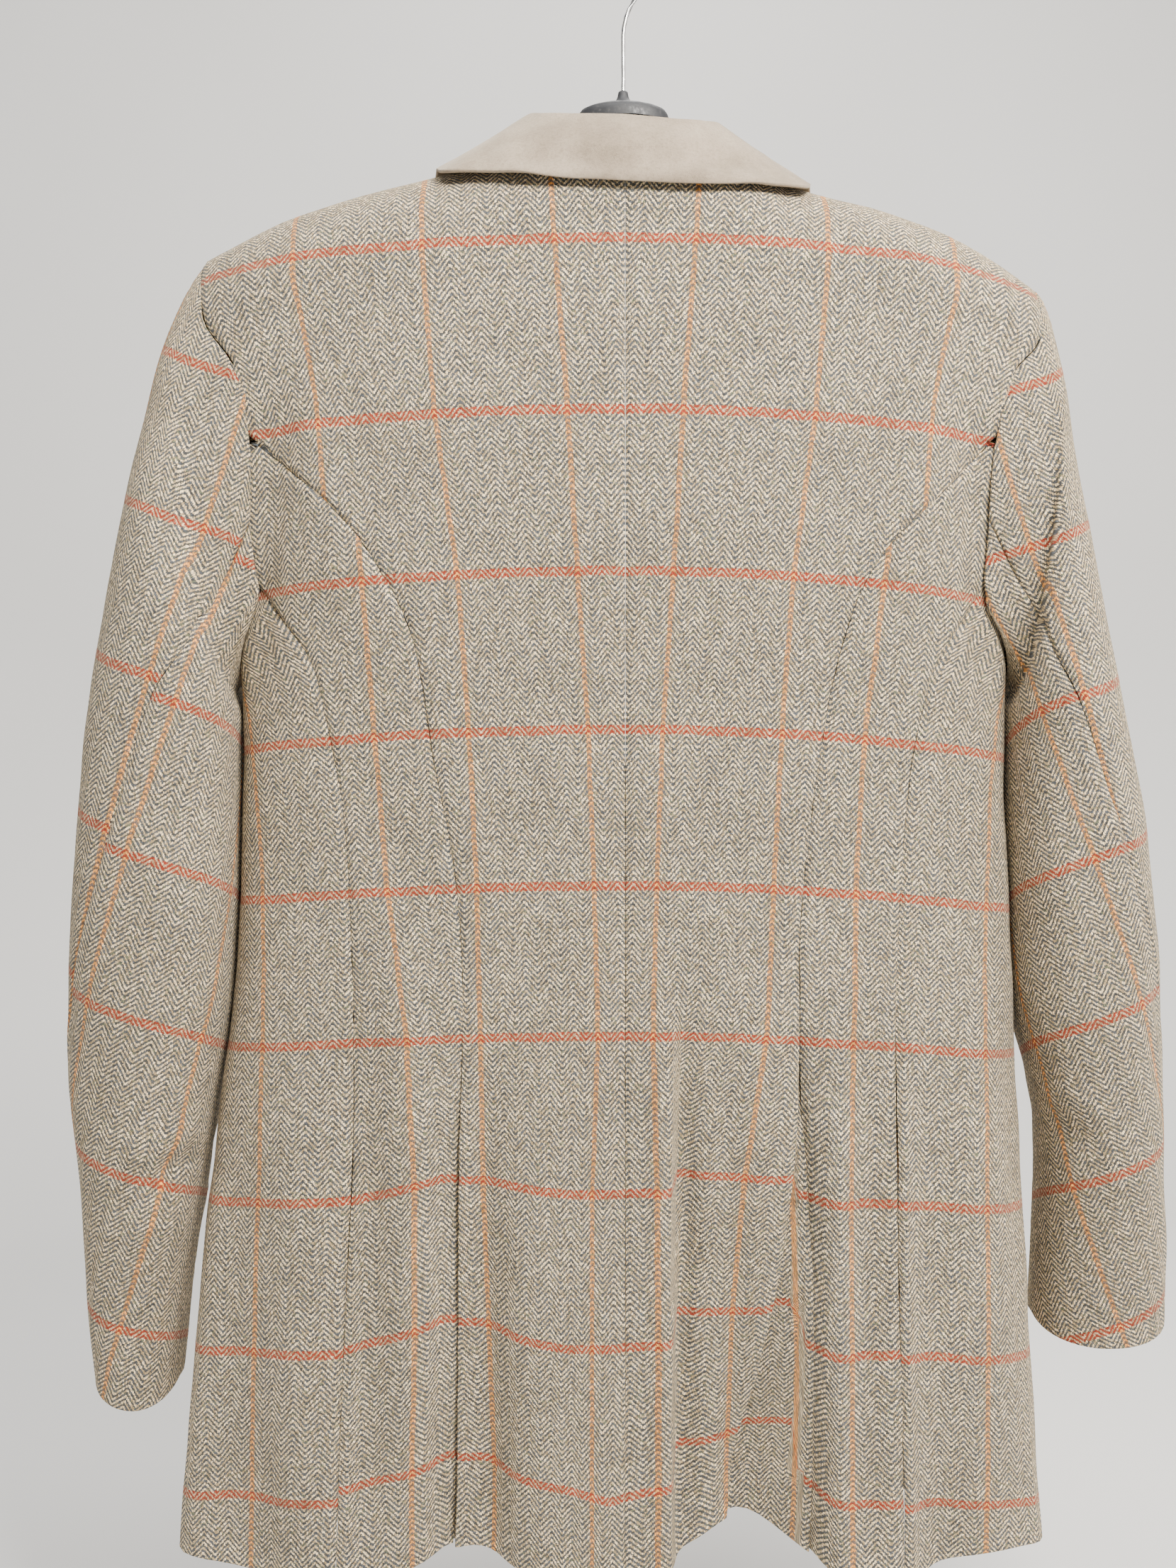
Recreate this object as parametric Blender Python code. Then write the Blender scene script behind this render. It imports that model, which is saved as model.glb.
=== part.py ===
"""Tweed hacking jacket hanging on a plastic hanger with a wire hook.

Metres, +Z up. The origin is the inside top of the hook, which holds everything up.
The jacket's back faces -Y and the wearer's right is +X. The cloth is a thin wall on
one body form, cut at its seams into panels that stay a hair apart.
"""

import math

import bmesh
import bpy
import numpy as np

# ---------------------------------------------------------------- driving sizes
CLOTH = 0.0022           # wall of the tweed
SUEDE = 0.0020           # wall of the collar
SEAM_GAP = 0.0004        # air between two pieces at a seam
SLEEVE_GAP = 0.0012      # the same along a sleeve's two seams
NORMAL_STEP = 0.02       # share of a grid step used to measure the form's slope

HEM_LEVEL = -0.860       # nominal height of the hem
TOP_LEVEL = -0.118       # nominal height of the shoulder ridge at the neck axis
RIDGE_RADIUS = 0.060     # how far down the cloth rounds over the shoulder
SHEAR_LEVEL = -0.300     # above this the rows begin to follow the shoulder slope
HEM_FADE = 0.30          # the hem's uneven height dies out over this height
SQUARENESS = 2.8         # 2 is an oval body section, more is boxier
UNDERARM_LEVEL = -0.370  # where side seams meet the armhole
PRINCESS_LEVEL = -0.290  # where the curved back seam meets the armhole
ARMHOLE_DIP = 0.042      # the armhole's lowest point under the arm
DIP_START = -0.565       # rows above this bend down towards it
NECK_HALF = 0.078        # neck point to neck axis
NECK_BACK_TURN = 28.0    # the back neckline's place on the ridge's quarter turn

HANG_WIRE = 0.0011       # wire radius
HOOK_RADIUS = 0.020      # inside radius of the hook
NECK_TOP = -0.095        # top of the hanger's neck
NECK_CURVE = 2.2         # how late the back neckline rises to the neck point

# Body sections from hem to top: half widths, half depths behind and in front.
SECTIONS = (
    # level, left, right, back, front
    (-0.860, 0.2335, 0.2215, 0.060, 0.058),
    (-0.800, 0.2295, 0.2185, 0.060, 0.058),
    (-0.730, 0.2240, 0.2150, 0.059, 0.058),
    (-0.650, 0.2160, 0.2105, 0.057, 0.058),
    (-0.570, 0.2065, 0.2065, 0.055, 0.057),
    (-0.480, 0.203, 0.203, 0.054, 0.057),
    (-0.415, 0.2020, 0.2020, 0.055, 0.058),
    (-0.370, 0.2030, 0.2030, 0.056, 0.058),
    (-0.330, 0.2090, 0.2070, 0.056, 0.057),
    (-0.260, 0.230, 0.226, 0.053, 0.053),
    (-0.180, 0.240, 0.238, 0.050, 0.050),
    (-0.118, 0.250, 0.248, 0.050, 0.050),
)

# The shoulder ridge under the cloth's top, each side from the neck axis out.
RIDGE = (
    # out, left, right
    (0.000, -0.118, -0.118),
    (0.050, -0.1290, -0.1310),
    (0.090, -0.1410, -0.1490),
    (0.137, -0.1525, -0.1615),
    (0.183, -0.168, -0.179),
    (0.224, -0.189, -0.205),
)

# The hem's height round the body; turn is 0 at centre back and 90 at the right side.
HEM = (
    # turn, height
    (-180.0, -0.862),
    (-120.0, -0.860),
    (-90.0, -0.862),
    (-60.0, -0.864),
    (-41.0, -0.868),
    (-28.0, -0.862),
    (-22.0, -0.852),
    (-15.0, -0.857),
    (0.0, -0.864),
    (6.0, -0.860),
    (10.0, -0.848),
    (16.0, -0.838),
    (24.0, -0.856),
    (33.0, -0.867),
    (42.0, -0.860),
    (54.0, -0.857),
    (65.0, -0.858),
    (90.0, -0.863),
    (120.0, -0.866),
    (180.0, -0.862),
)

# Soft folds: where they run, how wide and how deep they are at the hem (+ is out).
FOLDS = (
    # turn_top, turn_hem, width, out_at_hem, starts
    (-19.0, -19.0, 6.5, -0.014, -0.560),
    (-5.0, -6.0, 8.0, 0.007, -0.560),
    (13.0, 15.0, 7.5, -0.018, -0.540),
    (30.0, 31.0, 7.0, 0.008, -0.560),
    (42.0, 43.0, 6.0, -0.006, -0.500),
    (58.0, 60.0, 9.0, 0.006, -0.560),
    (-34.0, -34.0, 8.0, 0.006, -0.560),
    (-47.0, -48.0, 6.0, -0.005, -0.520),
    (-63.0, -64.0, 9.0, 0.006, -0.560),
    (120.0, 118.0, 9.0, -0.008, -0.560),
    (150.0, 150.0, 9.0, 0.006, -0.560),
    (-122.0, -124.0, 9.0, -0.008, -0.560),
    (-148.0, -150.0, 9.0, 0.006, -0.560),
)

# Armhole edge on the back and the curved back seam below it, distances from centre.
BACK_OUTER = (
    # level, left, right
    (-0.860, 0.0902, 0.0561),
    (-0.825, 0.0879, 0.0580),
    (-0.778, 0.0865, 0.0692),
    (-0.722, 0.0851, 0.0781),
    (-0.652, 0.0837, 0.0857),
    (-0.591, 0.0821, 0.0879),
    (-0.545, 0.0828, 0.0884),
    (-0.498, 0.0879, 0.0921),
    (-0.456, 0.0963, 0.0977),
    (-0.418, 0.1020, 0.1043),
    (-0.390, 0.1082, 0.1115),
    (-0.363, 0.1210, 0.1220),
    (-0.338, 0.1375, 0.1395),
    (-0.319, 0.1555, 0.1610),
    (-0.290, 0.1900, 0.1890),
    (-0.256, 0.1950, 0.1940),
    (-0.226, 0.2030, 0.2020),
    (-0.184, 0.2157, 0.2130),
    (-0.118, 0.2230, 0.2200),
)

# Inner edge of the side back: the same seam, and the open vent below it.
SIDE_BACK_INNER = (
    # level, left, right
    (-0.860, 0.0902, 0.0888),
    (-0.825, 0.0879, 0.0898),
    (-0.778, 0.0865, 0.0912),
    (-0.722, 0.0851, 0.0912),
    (-0.652, 0.0837, 0.0893),
    (-0.591, 0.0821, 0.0879),
)

# The side seam, which runs a little behind the body's side.
SIDE_SEAM = (
    # level, left, right
    (-0.860, 0.1419, 0.1354),
    (-0.724, 0.1396, 0.1354),
    (-0.639, 0.1375, 0.1363),
    (-0.545, 0.1391, 0.1389),
    (-0.479, 0.1434, 0.1434),
    (-0.432, 0.1528, 0.1509),
    (-0.399, 0.1630, 0.1621),
    (-0.370, 0.1882, 0.1853),
)
SIDE_SEAM_ARMHOLE = (
    # level, left, right
    (-0.370, 0.1882, 0.1853),
    (-0.345, 0.1926, 0.1873),
    (-0.316, 0.1925, 0.1882),
    (-0.290, 0.1914, 0.1904),
)

# Front panel: outer edge and the opening's edge, distances from centre.
FRONT_OUTER = (
    # level, out
    (-0.860, 0.1360),
    (-0.640, 0.1300),
    (-0.545, 0.1280),
    (-0.452, 0.1360),
    (-0.404, 0.1500),
    (-0.370, 0.1780),
    (-0.338, 0.1790),
    (-0.290, 0.1820),
    (-0.256, 0.1870),
    (-0.226, 0.1950),
    (-0.184, 0.2100),
    (-0.118, 0.2215),
)
FRONT_INNER = (
    # level, out; below the break the two fronts lap past the centre
    (-0.860, -0.0150),
    (-0.540, -0.0180),
    (-0.500, -0.0100),
    (-0.400, 0.0180),
    (-0.300, 0.0450),
    (-0.220, 0.0630),
    (-0.118, 0.0780),
)

# Sleeves: outer and inner edge seen from behind, half depth and how far forward.
SLEEVE_LEFT = (
    # out, out_z, in, in_z, depth, forward
    (0.2338, -0.2080, 0.2070, -0.4150, 0.040, 0.000),
    (0.2455, -0.2420, 0.2060, -0.4205, 0.046, -0.002),
    (0.2565, -0.2900, 0.2057, -0.4290, 0.050, -0.004),
    (0.2668, -0.3400, 0.2053, -0.4400, 0.052, -0.004),
    (0.2768, -0.4000, 0.2050, -0.4540, 0.052, -0.004),
    (0.2850, -0.4650, 0.2053, -0.4860, 0.051, -0.004),
    (0.2905, -0.5250, 0.2066, -0.5300, 0.049, -0.003),
    (0.2942, -0.5850, 0.2102, -0.5850, 0.046, -0.001),
    (0.2935, -0.6350, 0.2170, -0.6320, 0.044, 0.002),
    (0.2892, -0.6850, 0.2250, -0.6790, 0.041, 0.006),
    (0.2877, -0.7350, 0.2340, -0.7280, 0.038, 0.011),
    (0.2845, -0.7800, 0.2415, -0.7890, 0.035, 0.016),
)
SLEEVE_RIGHT = (
    # out, out_z, in, in_z, depth, forward
    (0.2255, -0.2180, 0.2070, -0.4150, 0.040, 0.000),
    (0.2310, -0.2500, 0.2060, -0.4205, 0.046, -0.002),
    (0.2380, -0.2950, 0.2057, -0.4290, 0.050, -0.004),
    (0.2460, -0.3450, 0.2053, -0.4400, 0.052, -0.004),
    (0.2570, -0.4050, 0.2050, -0.4560, 0.052, -0.004),
    (0.2695, -0.4650, 0.2053, -0.4860, 0.051, -0.004),
    (0.2785, -0.5250, 0.2066, -0.5300, 0.049, -0.003),
    (0.2845, -0.5800, 0.2102, -0.5800, 0.046, 0.000),
    (0.2868, -0.6250, 0.2200, -0.6250, 0.044, 0.004),
    (0.2885, -0.6700, 0.2250, -0.6650, 0.041, 0.009),
    (0.2935, -0.7130, 0.2250, -0.7050, 0.038, 0.015),
    (0.2950, -0.7520, 0.2240, -0.7550, 0.036, 0.021),
)
# The two sleeve seams as turns round the sleeve: 0 outside, 90 behind, 180 inside.
SLEEVE_SEAMS = (
    # share_of_length, back, front
    (0.00, 126.0, 252.0),
    (0.10, 126.0, 250.0),
    (0.20, 119.0, 246.0),
    (0.33, 106.0, 240.0),
    (0.42, 89.0, 234.0),
    (0.50, 76.0, 228.0),
    (0.58, 57.0, 222.0),
    (0.67, 30.0, 216.0),
    (0.75, 13.0, 210.0),
    (0.85, 4.0, 205.0),
    (1.00, 2.0, 200.0),
)

# Collar, from centre back round to the front end.
COLLAR = (
    # turn, seam_x, seam_y, seam_z, roll_x, roll_y, roll_z, edge_x, edge_y, edge_z
    (0.0, 0.000, -0.0385, -0.153, 0.000, -0.0400, -0.1242, 0.000, -0.0525, -0.1640),
    (30.0, 0.024, -0.0365, -0.152, 0.0245, -0.0375, -0.1240, 0.040, -0.0500, -0.1630),
    (55.0, 0.045, -0.0290, -0.149, 0.0405, -0.0295, -0.1212, 0.074, -0.0440, -0.1585),
    (80.0, 0.061, -0.0140, -0.1375, 0.0512, -0.0140, -0.1168, 0.095, -0.0330, -0.1540),
    (100.0, 0.066, 0.0040, -0.1320, 0.0570, 0.0050, -0.1190, 0.1010, 0.0020, -0.1420),
    (122.0, 0.066, 0.0300, -0.152, 0.062, 0.0345, -0.1400, 0.1060, 0.0380, -0.1560),
    (133.0, 0.065, 0.0420, -0.176, 0.0630, 0.0505, -0.1680, 0.1080, 0.0540, -0.1760),
    (145.0, 0.064, 0.0455, -0.200, 0.0635, 0.0545, -0.1950, 0.1065, 0.0585, -0.2000),
)

TWEED_COLOUR = (0.235, 0.225, 0.190, 1.0)
SUEDE_COLOUR = (0.430, 0.350, 0.265, 1.0)
BUTTON_COLOUR = (0.060, 0.035, 0.020, 1.0)
PLASTIC_COLOUR = (0.012, 0.012, 0.013, 1.0)
STEEL_COLOUR = (0.560, 0.560, 0.550, 1.0)


# ---------------------------------------------------------------- small helpers
def column(table, index):
    return np.array([row[index] for row in table], dtype=float)


def smooth_lookup(table, index, at):
    """A soft curve through a table's column, by its first column."""
    keys = column(table, 0)
    values = column(table, index)
    slopes = np.gradient(values, keys)
    at = np.clip(at, keys[0], keys[-1])
    cell = np.clip(np.searchsorted(keys, at) - 1, 0, len(keys) - 2)
    width = keys[cell + 1] - keys[cell]
    share = (at - keys[cell]) / width
    start = (1 + 2 * share) * (1 - share) ** 2 * values[cell]
    start_slope = share * (1 - share) ** 2 * width * slopes[cell]
    end = share**2 * (3 - 2 * share) * values[cell + 1]
    end_slope = share**2 * (share - 1) * width * slopes[cell + 1]
    return start + start_slope + end + end_slope


def ease(share):
    share = np.clip(share, 0.0, 1.0)
    return share * share * (3 - 2 * share)


def principled(name, colour, roughness, metallic=0.0):
    material = bpy.data.materials.new(name)
    material.use_nodes = True
    shader = material.node_tree.nodes["Principled BSDF"]
    shader.inputs["Base Color"].default_value = colour
    shader.inputs["Roughness"].default_value = roughness
    shader.inputs["Metallic"].default_value = metallic
    return material


def add_object(name, points, faces, material, smooth=True):
    mesh = bpy.data.meshes.new(name)
    mesh.from_pydata([tuple(point) for point in points], [], faces)
    work = bmesh.new()
    work.from_mesh(mesh)
    bmesh.ops.recalc_face_normals(work, faces=work.faces)
    work.to_mesh(mesh)
    work.free()
    if smooth:
        mesh.shade_smooth()
        mesh.set_sharp_from_angle(angle=math.radians(40))
    mesh.materials.append(material)
    piece = bpy.data.objects.new(name, mesh)
    bpy.context.scene.collection.objects.link(piece)
    return piece


# ---------------------------------------------------------------- the body's form
ROW_LEVELS = (
    HEM_LEVEL, -0.828, -0.790, -0.745, -0.700, -0.652, -0.605, -0.560, -0.515,
    -0.475, -0.440, -0.415, -0.390, UNDERARM_LEVEL, -0.330, PRINCESS_LEVEL, -0.254, -0.215,
    TOP_LEVEL - RIDGE_RADIUS,
)
RIDGE_ROWS = 3           # rows that round over the shoulder
LAST_LEVEL = len(ROW_LEVELS) - 1
LAST_ROW = LAST_LEVEL + RIDGE_ROWS
UNDERARM_ROW = ROW_LEVELS.index(UNDERARM_LEVEL)
PRINCESS_ROW = ROW_LEVELS.index(PRINCESS_LEVEL)


def row_level(row):
    """Nominal height of a row, and how far the ridge has rounded in (1 is not yet)."""
    flat = np.interp(row, np.arange(LAST_LEVEL + 1), ROW_LEVELS)
    flat = np.where(row < 0, ROW_LEVELS[0] + row * (ROW_LEVELS[1] - ROW_LEVELS[0]), flat)
    turn = np.radians(90.0) * np.maximum(row - LAST_LEVEL, 0.0) / RIDGE_ROWS
    level = flat + RIDGE_RADIUS * np.sin(turn)
    return level, np.cos(turn)


def body_width(level, side):
    return smooth_lookup(SECTIONS, 1 if side < 0 else 2, level)


def turn_on_back(out, level, side):
    """The turn, from centre back, of a point this far out from the centre."""
    share = np.clip(np.abs(out) / body_width(level, side), 0.0, 0.999)
    turn = np.degrees(np.arctan2(share, (1 - share**SQUARENESS) ** (1 / SQUARENESS)))
    return turn * np.sign(out)


def fold_depth(turn, level):
    depth = np.zeros_like(level + turn)
    for turn_top, turn_hem, width, out_at_hem, starts in FOLDS:
        fall = np.clip((starts - level) / (starts - HEM_LEVEL), 0.0, 1.1)
        middle = turn_top + (turn_hem - turn_top) * fall
        depth = depth + out_at_hem * fall**1.5 * np.exp(-(((turn - middle) / width) ** 2))
    return depth


def body_point(turn, row, side):
    """A point of the jacket's outer face; turn is 0 at centre back, 180 at centre front."""
    level, rounding = row_level(row)
    angle = np.radians(turn)
    sine = np.sin(angle)
    cosine = np.cos(angle)
    reach = (np.abs(sine) ** SQUARENESS + np.abs(cosine) ** SQUARENESS) ** (-1 / SQUARENESS)
    wide = body_width(level, side)
    behind = smooth_lookup(SECTIONS, 3, level)
    before = smooth_lookup(SECTIONS, 4, level)
    deep = np.where(cosine > 0, behind, before)
    fold = fold_depth(turn * side, level)
    out = wide * reach * sine + fold * sine
    along = -(deep * reach * cosine) * rounding - fold * cosine
    ridge = smooth_lookup(RIDGE, 1 if side < 0 else 2, np.abs(out))
    shear = ease((level - SHEAR_LEVEL) / (TOP_LEVEL - SHEAR_LEVEL))
    sag = 1 - np.clip((level - HEM_LEVEL) / HEM_FADE, 0.0, 1.0)
    height = level + (ridge - TOP_LEVEL) * shear
    height = height + (smooth_lookup(HEM, 1, turn * side) - HEM_LEVEL) * sag**1.5
    return np.stack([out * side, along, height], axis=-1)


# ---------------------------------------------------------------- cloth walls
def wall_from_grid(outer, inner):
    """One closed wall from two grids of points with the same rows and columns."""
    rows, columns = outer.shape[:2]
    points = np.concatenate([outer.reshape(-1, 3), inner.reshape(-1, 3)])
    count = rows * columns
    faces = []
    for row in range(rows - 1):
        for place in range(columns - 1):
            first = row * columns + place
            quad = (first, first + 1, first + 1 + columns, first + columns)
            faces.append(quad)
            faces.append(tuple(corner + count for corner in reversed(quad)))
    border = [place for place in range(columns)]
    border += [row * columns + columns - 1 for row in range(1, rows)]
    border += [(rows - 1) * columns + place for place in range(columns - 2, -1, -1)]
    border += [row * columns for row in range(rows - 2, 0, -1)]
    for here, after in zip(border, border[1:] + border[:1]):
        faces.append((after, here, here + count, after + count))
    return points, faces


def grid_and_normals(surface, column_shares, rows, outward):
    """Points of a form on a grid, with its outward normals from small steps each way."""
    shares, row_grid = np.meshgrid(column_shares, rows)
    across = surface(shares + NORMAL_STEP, row_grid) - surface(shares - NORMAL_STEP, row_grid)
    step = NORMAL_STEP * (rows[-1] - rows[0]) / len(rows)
    up = surface(shares, row_grid + step) - surface(shares, row_grid - step)
    normals = np.cross(across, up)
    normals = normals / np.linalg.norm(normals, axis=-1, keepdims=True)
    points = surface(shares, row_grid)
    if np.mean(np.sum(normals * outward(points), axis=-1)) < 0:
        normals = -normals
    return points, normals


def away_from_axis(points):
    return points * np.array([1.0, 1.0, 0.0])


def trim_border(points, gap):
    """Pull a grid's border in by this gap, along the grid itself."""
    trimmed = points.copy()
    for edge, inside in ((0, 1), (-1, -2)):
        reach = points[:, inside] - points[:, edge]
        length = np.maximum(np.linalg.norm(reach, axis=-1, keepdims=True), 4 * gap)
        trimmed[:, edge] = points[:, edge] + reach * gap / length
    base = trimmed.copy()
    for edge, inside in ((0, 1), (-1, -2)):
        reach = base[inside] - base[edge]
        length = np.maximum(np.linalg.norm(reach, axis=-1, keepdims=True), 4 * gap)
        trimmed[edge] = base[edge] + reach * gap / length
    return trimmed


def cloth_panel(name, points, normals, material, wall=CLOTH, gap=SEAM_GAP):
    outer = trim_border(points, gap / 2)
    inner = outer - normals * wall
    corners, faces = wall_from_grid(outer, inner)
    return add_object(name, corners, faces, material)


# ---------------------------------------------------------------- body panels
def side_index(side):
    return 1 if side < 0 else 2


def back_surface(side):
    def surface(share, row):
        level, _ = row_level(row)
        outer = smooth_lookup(BACK_OUTER, side_index(side), level)
        top_row = np.clip(share / (NECK_HALF / outer[-1, -1]), 0.0, 1.0) ** NECK_CURVE
        neck = (NECK_BACK_TURN + (90.0 - NECK_BACK_TURN) * top_row) / 90.0
        lowered = LAST_LEVEL + (row - LAST_LEVEL) * neck
        row = np.where(row > LAST_LEVEL, lowered, row)
        level, _ = row_level(row)
        outer = smooth_lookup(BACK_OUTER, side_index(side), level)
        return body_point(turn_on_back(outer * share, level, side), row, side)
    return surface


def build_back(side, label, material):
    shares = np.array([0.0, 0.12, 0.24, 0.36, 0.50, 0.63, 0.76, 0.88, 1.0])
    rows = np.arange(0, LAST_ROW + 1, dtype=float)
    points, normals = grid_and_normals(back_surface(side), shares, rows, away_from_axis)
    cloth_panel(f"back_{label}", points, normals, material)


def side_back_surface(side):
    def surface(share, row):
        level, _ = row_level(row)
        seam = smooth_lookup(BACK_OUTER, side_index(side), level)
        vent = smooth_lookup(SIDE_BACK_INNER, side_index(side), level)
        inner = np.where(level < SIDE_BACK_INNER[-1][0], vent, seam)
        lower = smooth_lookup(SIDE_SEAM, side_index(side), level)
        upper = smooth_lookup(SIDE_SEAM_ARMHOLE, side_index(side), level)
        outer = np.where(level < UNDERARM_LEVEL, lower, upper)
        return body_point(turn_on_back(inner + (outer - inner) * share, level, side), row, side)
    return surface


def build_side_back(side, label, material):
    shares = np.linspace(0.0, 1.0, 5)
    rows = np.arange(0, PRINCESS_ROW + 1, dtype=float)
    points, normals = grid_and_normals(side_back_surface(side), shares, rows, away_from_axis)
    cloth_panel(f"side_back_{label}", points, normals, material)


def front_turn(out, level, side):
    return 180.0 - turn_on_back(out, level, side)


def side_front_surface(side):
    def surface(share, row):
        level, _ = row_level(row)
        back_edge = turn_on_back(smooth_lookup(SIDE_SEAM, side_index(side), level), level, side)
        front_edge = front_turn(smooth_lookup(FRONT_OUTER, 1, level), level, side)
        turn = back_edge + (front_edge - back_edge) * share
        dip = ARMHOLE_DIP * np.sin(np.pi * np.clip(share, 0.0, 1.0)) ** 0.8
        rise = ease((level - DIP_START) / (UNDERARM_LEVEL - DIP_START))
        point = body_point(turn, row, side)
        point[..., 2] -= dip * rise
        return point
    return surface


def build_side_front(side, label, material):
    shares = np.linspace(0.0, 1.0, 9)
    rows = np.arange(0, UNDERARM_ROW + 1, dtype=float)
    points, normals = grid_and_normals(side_front_surface(side), shares, rows, away_from_axis)
    cloth_panel(f"side_front_{label}", points, normals, material)


LAP_STEP = 0.0050        # the left front sits this far inside the right one
LAP_REACH = 0.060        # from the centre out
LAP_SOFT = 0.035         # over this width it comes back to the surface
LAP_TOP = -0.36          # below this height
LAP_TALL = 0.10


def front_surface(side):
    def surface(share, row):
        level, _ = row_level(row)
        outer = smooth_lookup(FRONT_OUTER, 1, level)
        inner = smooth_lookup(FRONT_INNER, 1, level)
        out = outer + (inner - outer) * share
        point = body_point(front_turn(out, level, side), row, side)
        if side < 0:
            lap = ease((LAP_REACH - out) / LAP_SOFT) * ease((LAP_TOP - level) / LAP_TALL)
            point[..., 1] -= LAP_STEP * lap
        return point
    return surface


def build_front(side, label, material):
    shares = np.array([0.0, 0.14, 0.28, 0.42, 0.56, 0.70, 0.85, 1.0])
    rows = np.arange(0, LAST_ROW + 1, dtype=float)
    points, normals = grid_and_normals(front_surface(side), shares, rows, away_from_axis)
    cloth_panel(f"front_{label}", points, normals, material)


# ---------------------------------------------------------------- sleeves
SLEEVE_START = 0.135     # the sleeve starts this share of a row away from the armhole
SEAT_START = 0.80        # share of the armhole's half turn where the underarm begins
ARMHOLE_CELL = 18.0      # turn between two of the armhole's corners, shared with the body


def armhole_point(turn, side):
    """The armhole's edge: 0 at the shoulder, 90 behind, 180 under the arm, 270 in front."""
    turn = np.mod(turn, 360.0)
    behind = turn <= 180.0
    fall = np.where(behind, turn, 360.0 - turn) / 180.0
    side_share = np.clip((fall - SEAT_START) / (1.0 - SEAT_START), 0.0, 1.0)
    row_back = LAST_ROW + (UNDERARM_ROW - LAST_ROW) * np.clip(fall / SEAT_START, 0, 1)
    level, _ = row_level(row_back)
    back_out = np.where(
        level > PRINCESS_LEVEL,
        smooth_lookup(BACK_OUTER, side_index(side), level),
        smooth_lookup(SIDE_SEAM_ARMHOLE, side_index(side), level),
    )
    front_out = smooth_lookup(FRONT_OUTER, 1, level)
    turn_back = turn_on_back(back_out, level, side)
    turn_front = front_turn(front_out, level, side)
    seat = side_share * 0.5
    seat = np.where(behind, seat, 1.0 - seat)
    under = side_front_surface(side)(seat, np.full_like(fall, float(UNDERARM_ROW)))
    on_back = body_point(turn_back, row_back, side)
    on_front = body_point(turn_front, row_back, side)
    edge = np.where(behind[..., None], on_back, on_front)
    return np.where((fall > SEAT_START)[..., None], under, edge)


SLEEVE_ROUNDNESS = 2.3   # 2 is an oval sleeve section
CUFF_DIP = 0.0105        # how much lower the cuff hangs behind than at its sides
CUFF_SHARE = {1: 1.0, 2: 0.55, 3: 0.2}  # by ring, counted from the cuff


def sleeve_ring(table, index, turn, side):
    out, out_z, inside, inside_z, depth, forward = table[index]
    angle = np.radians(turn)
    cosine = np.cos(angle)
    sine = np.sin(angle)
    power = SLEEVE_ROUNDNESS
    reach = (np.abs(sine) ** power + np.abs(cosine) ** power) ** (-1 / power)
    share = (1 + reach * cosine) / 2
    x = inside + (out - inside) * share
    z = inside_z + (out_z - inside_z) * share
    y = forward - depth * reach * sine
    z = z - CUFF_DIP * np.clip(sine, 0.0, 1.0) * CUFF_SHARE.get(len(table) - index, 0.0)
    return np.stack([x * side, y + np.zeros_like(x), z], axis=-1)


def sleeve_surface(side, first_turn, last_turn):
    """Share runs round the sleeve between two seams, row from armhole to cuff."""
    table = SLEEVE_LEFT if side < 0 else SLEEVE_RIGHT
    last = len(table)

    def surface(share, row):
        length = np.clip(row / last, 0.0, 1.0)
        start = first_turn(length)
        turn = start + (last_turn(length) - start) * share
        rings = [armhole_point(turn, side)]
        rings += [sleeve_ring(table, index, turn, side) for index in range(last)]
        rings = np.stack(rings)
        cell = np.clip(np.floor(row).astype(int), 0, last - 1)
        mix = (row - cell)[..., None]
        pick = np.indices(row.shape)
        before = rings[(np.maximum(cell - 1, 0), *pick)]
        here = rings[(cell, *pick)]
        after = rings[(cell + 1, *pick)]
        beyond = rings[(np.minimum(cell + 2, last), *pick)]
        slope_here = (after - before) / 2
        slope_after = (beyond - here) / 2
        return (
            (1 + 2 * mix) * (1 - mix) ** 2 * here
            + mix * (1 - mix) ** 2 * slope_here
            + mix**2 * (3 - 2 * mix) * after
            + mix**2 * (mix - 1) * slope_after
        )
    return surface


def back_seam_turn(length):
    return smooth_lookup(SLEEVE_SEAMS, 1, length)


def front_seam_turn(length):
    return smooth_lookup(SLEEVE_SEAMS, 2, length)


def away_from_sleeve(side):
    def outward(points):
        table = SLEEVE_LEFT if side < 0 else SLEEVE_RIGHT
        middle = np.array([side * (table[5][0] + table[5][2]) / 2, table[5][5], 0.0])
        return (points - middle) * np.array([1.0, 1.0, 0.0])
    return outward


def build_sleeve(side, label, material):
    table = SLEEVE_LEFT if side < 0 else SLEEVE_RIGHT
    rows = np.arange(0, len(table) + 1, dtype=float)
    rows[0] = SLEEVE_START
    back = SLEEVE_SEAMS[0][1]
    front = SLEEVE_SEAMS[0][2]
    top = sleeve_surface(side, lambda length: front_seam_turn(length) - 360.0, back_seam_turn)
    shares = np.linspace(0.0, 1.0, round((back - front + 360.0) / ARMHOLE_CELL) + 1)
    points, normals = grid_and_normals(top, shares, rows, away_from_sleeve(side))
    cloth_panel(f"sleeve_top_{label}", points, normals, material, gap=SLEEVE_GAP)
    under = sleeve_surface(side, back_seam_turn, front_seam_turn)
    shares = np.linspace(0.0, 1.0, round((front - back) / ARMHOLE_CELL) + 1)
    points, normals = grid_and_normals(under, shares, rows, away_from_sleeve(side))
    cloth_panel(f"sleeve_under_{label}", points, normals, material, gap=SLEEVE_GAP)


# ---------------------------------------------------------------- laid-on pieces
def laid_piece(name, surface, shares, rows, material, lift, wall=CLOTH):
    """A piece made from a panel's own points, moved out to lie on it."""
    points, normals = grid_and_normals(surface, shares, rows, away_from_axis)
    lifted = points + normals * (lift + wall)
    return cloth_panel(name, lifted, normals, material, wall)


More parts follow.
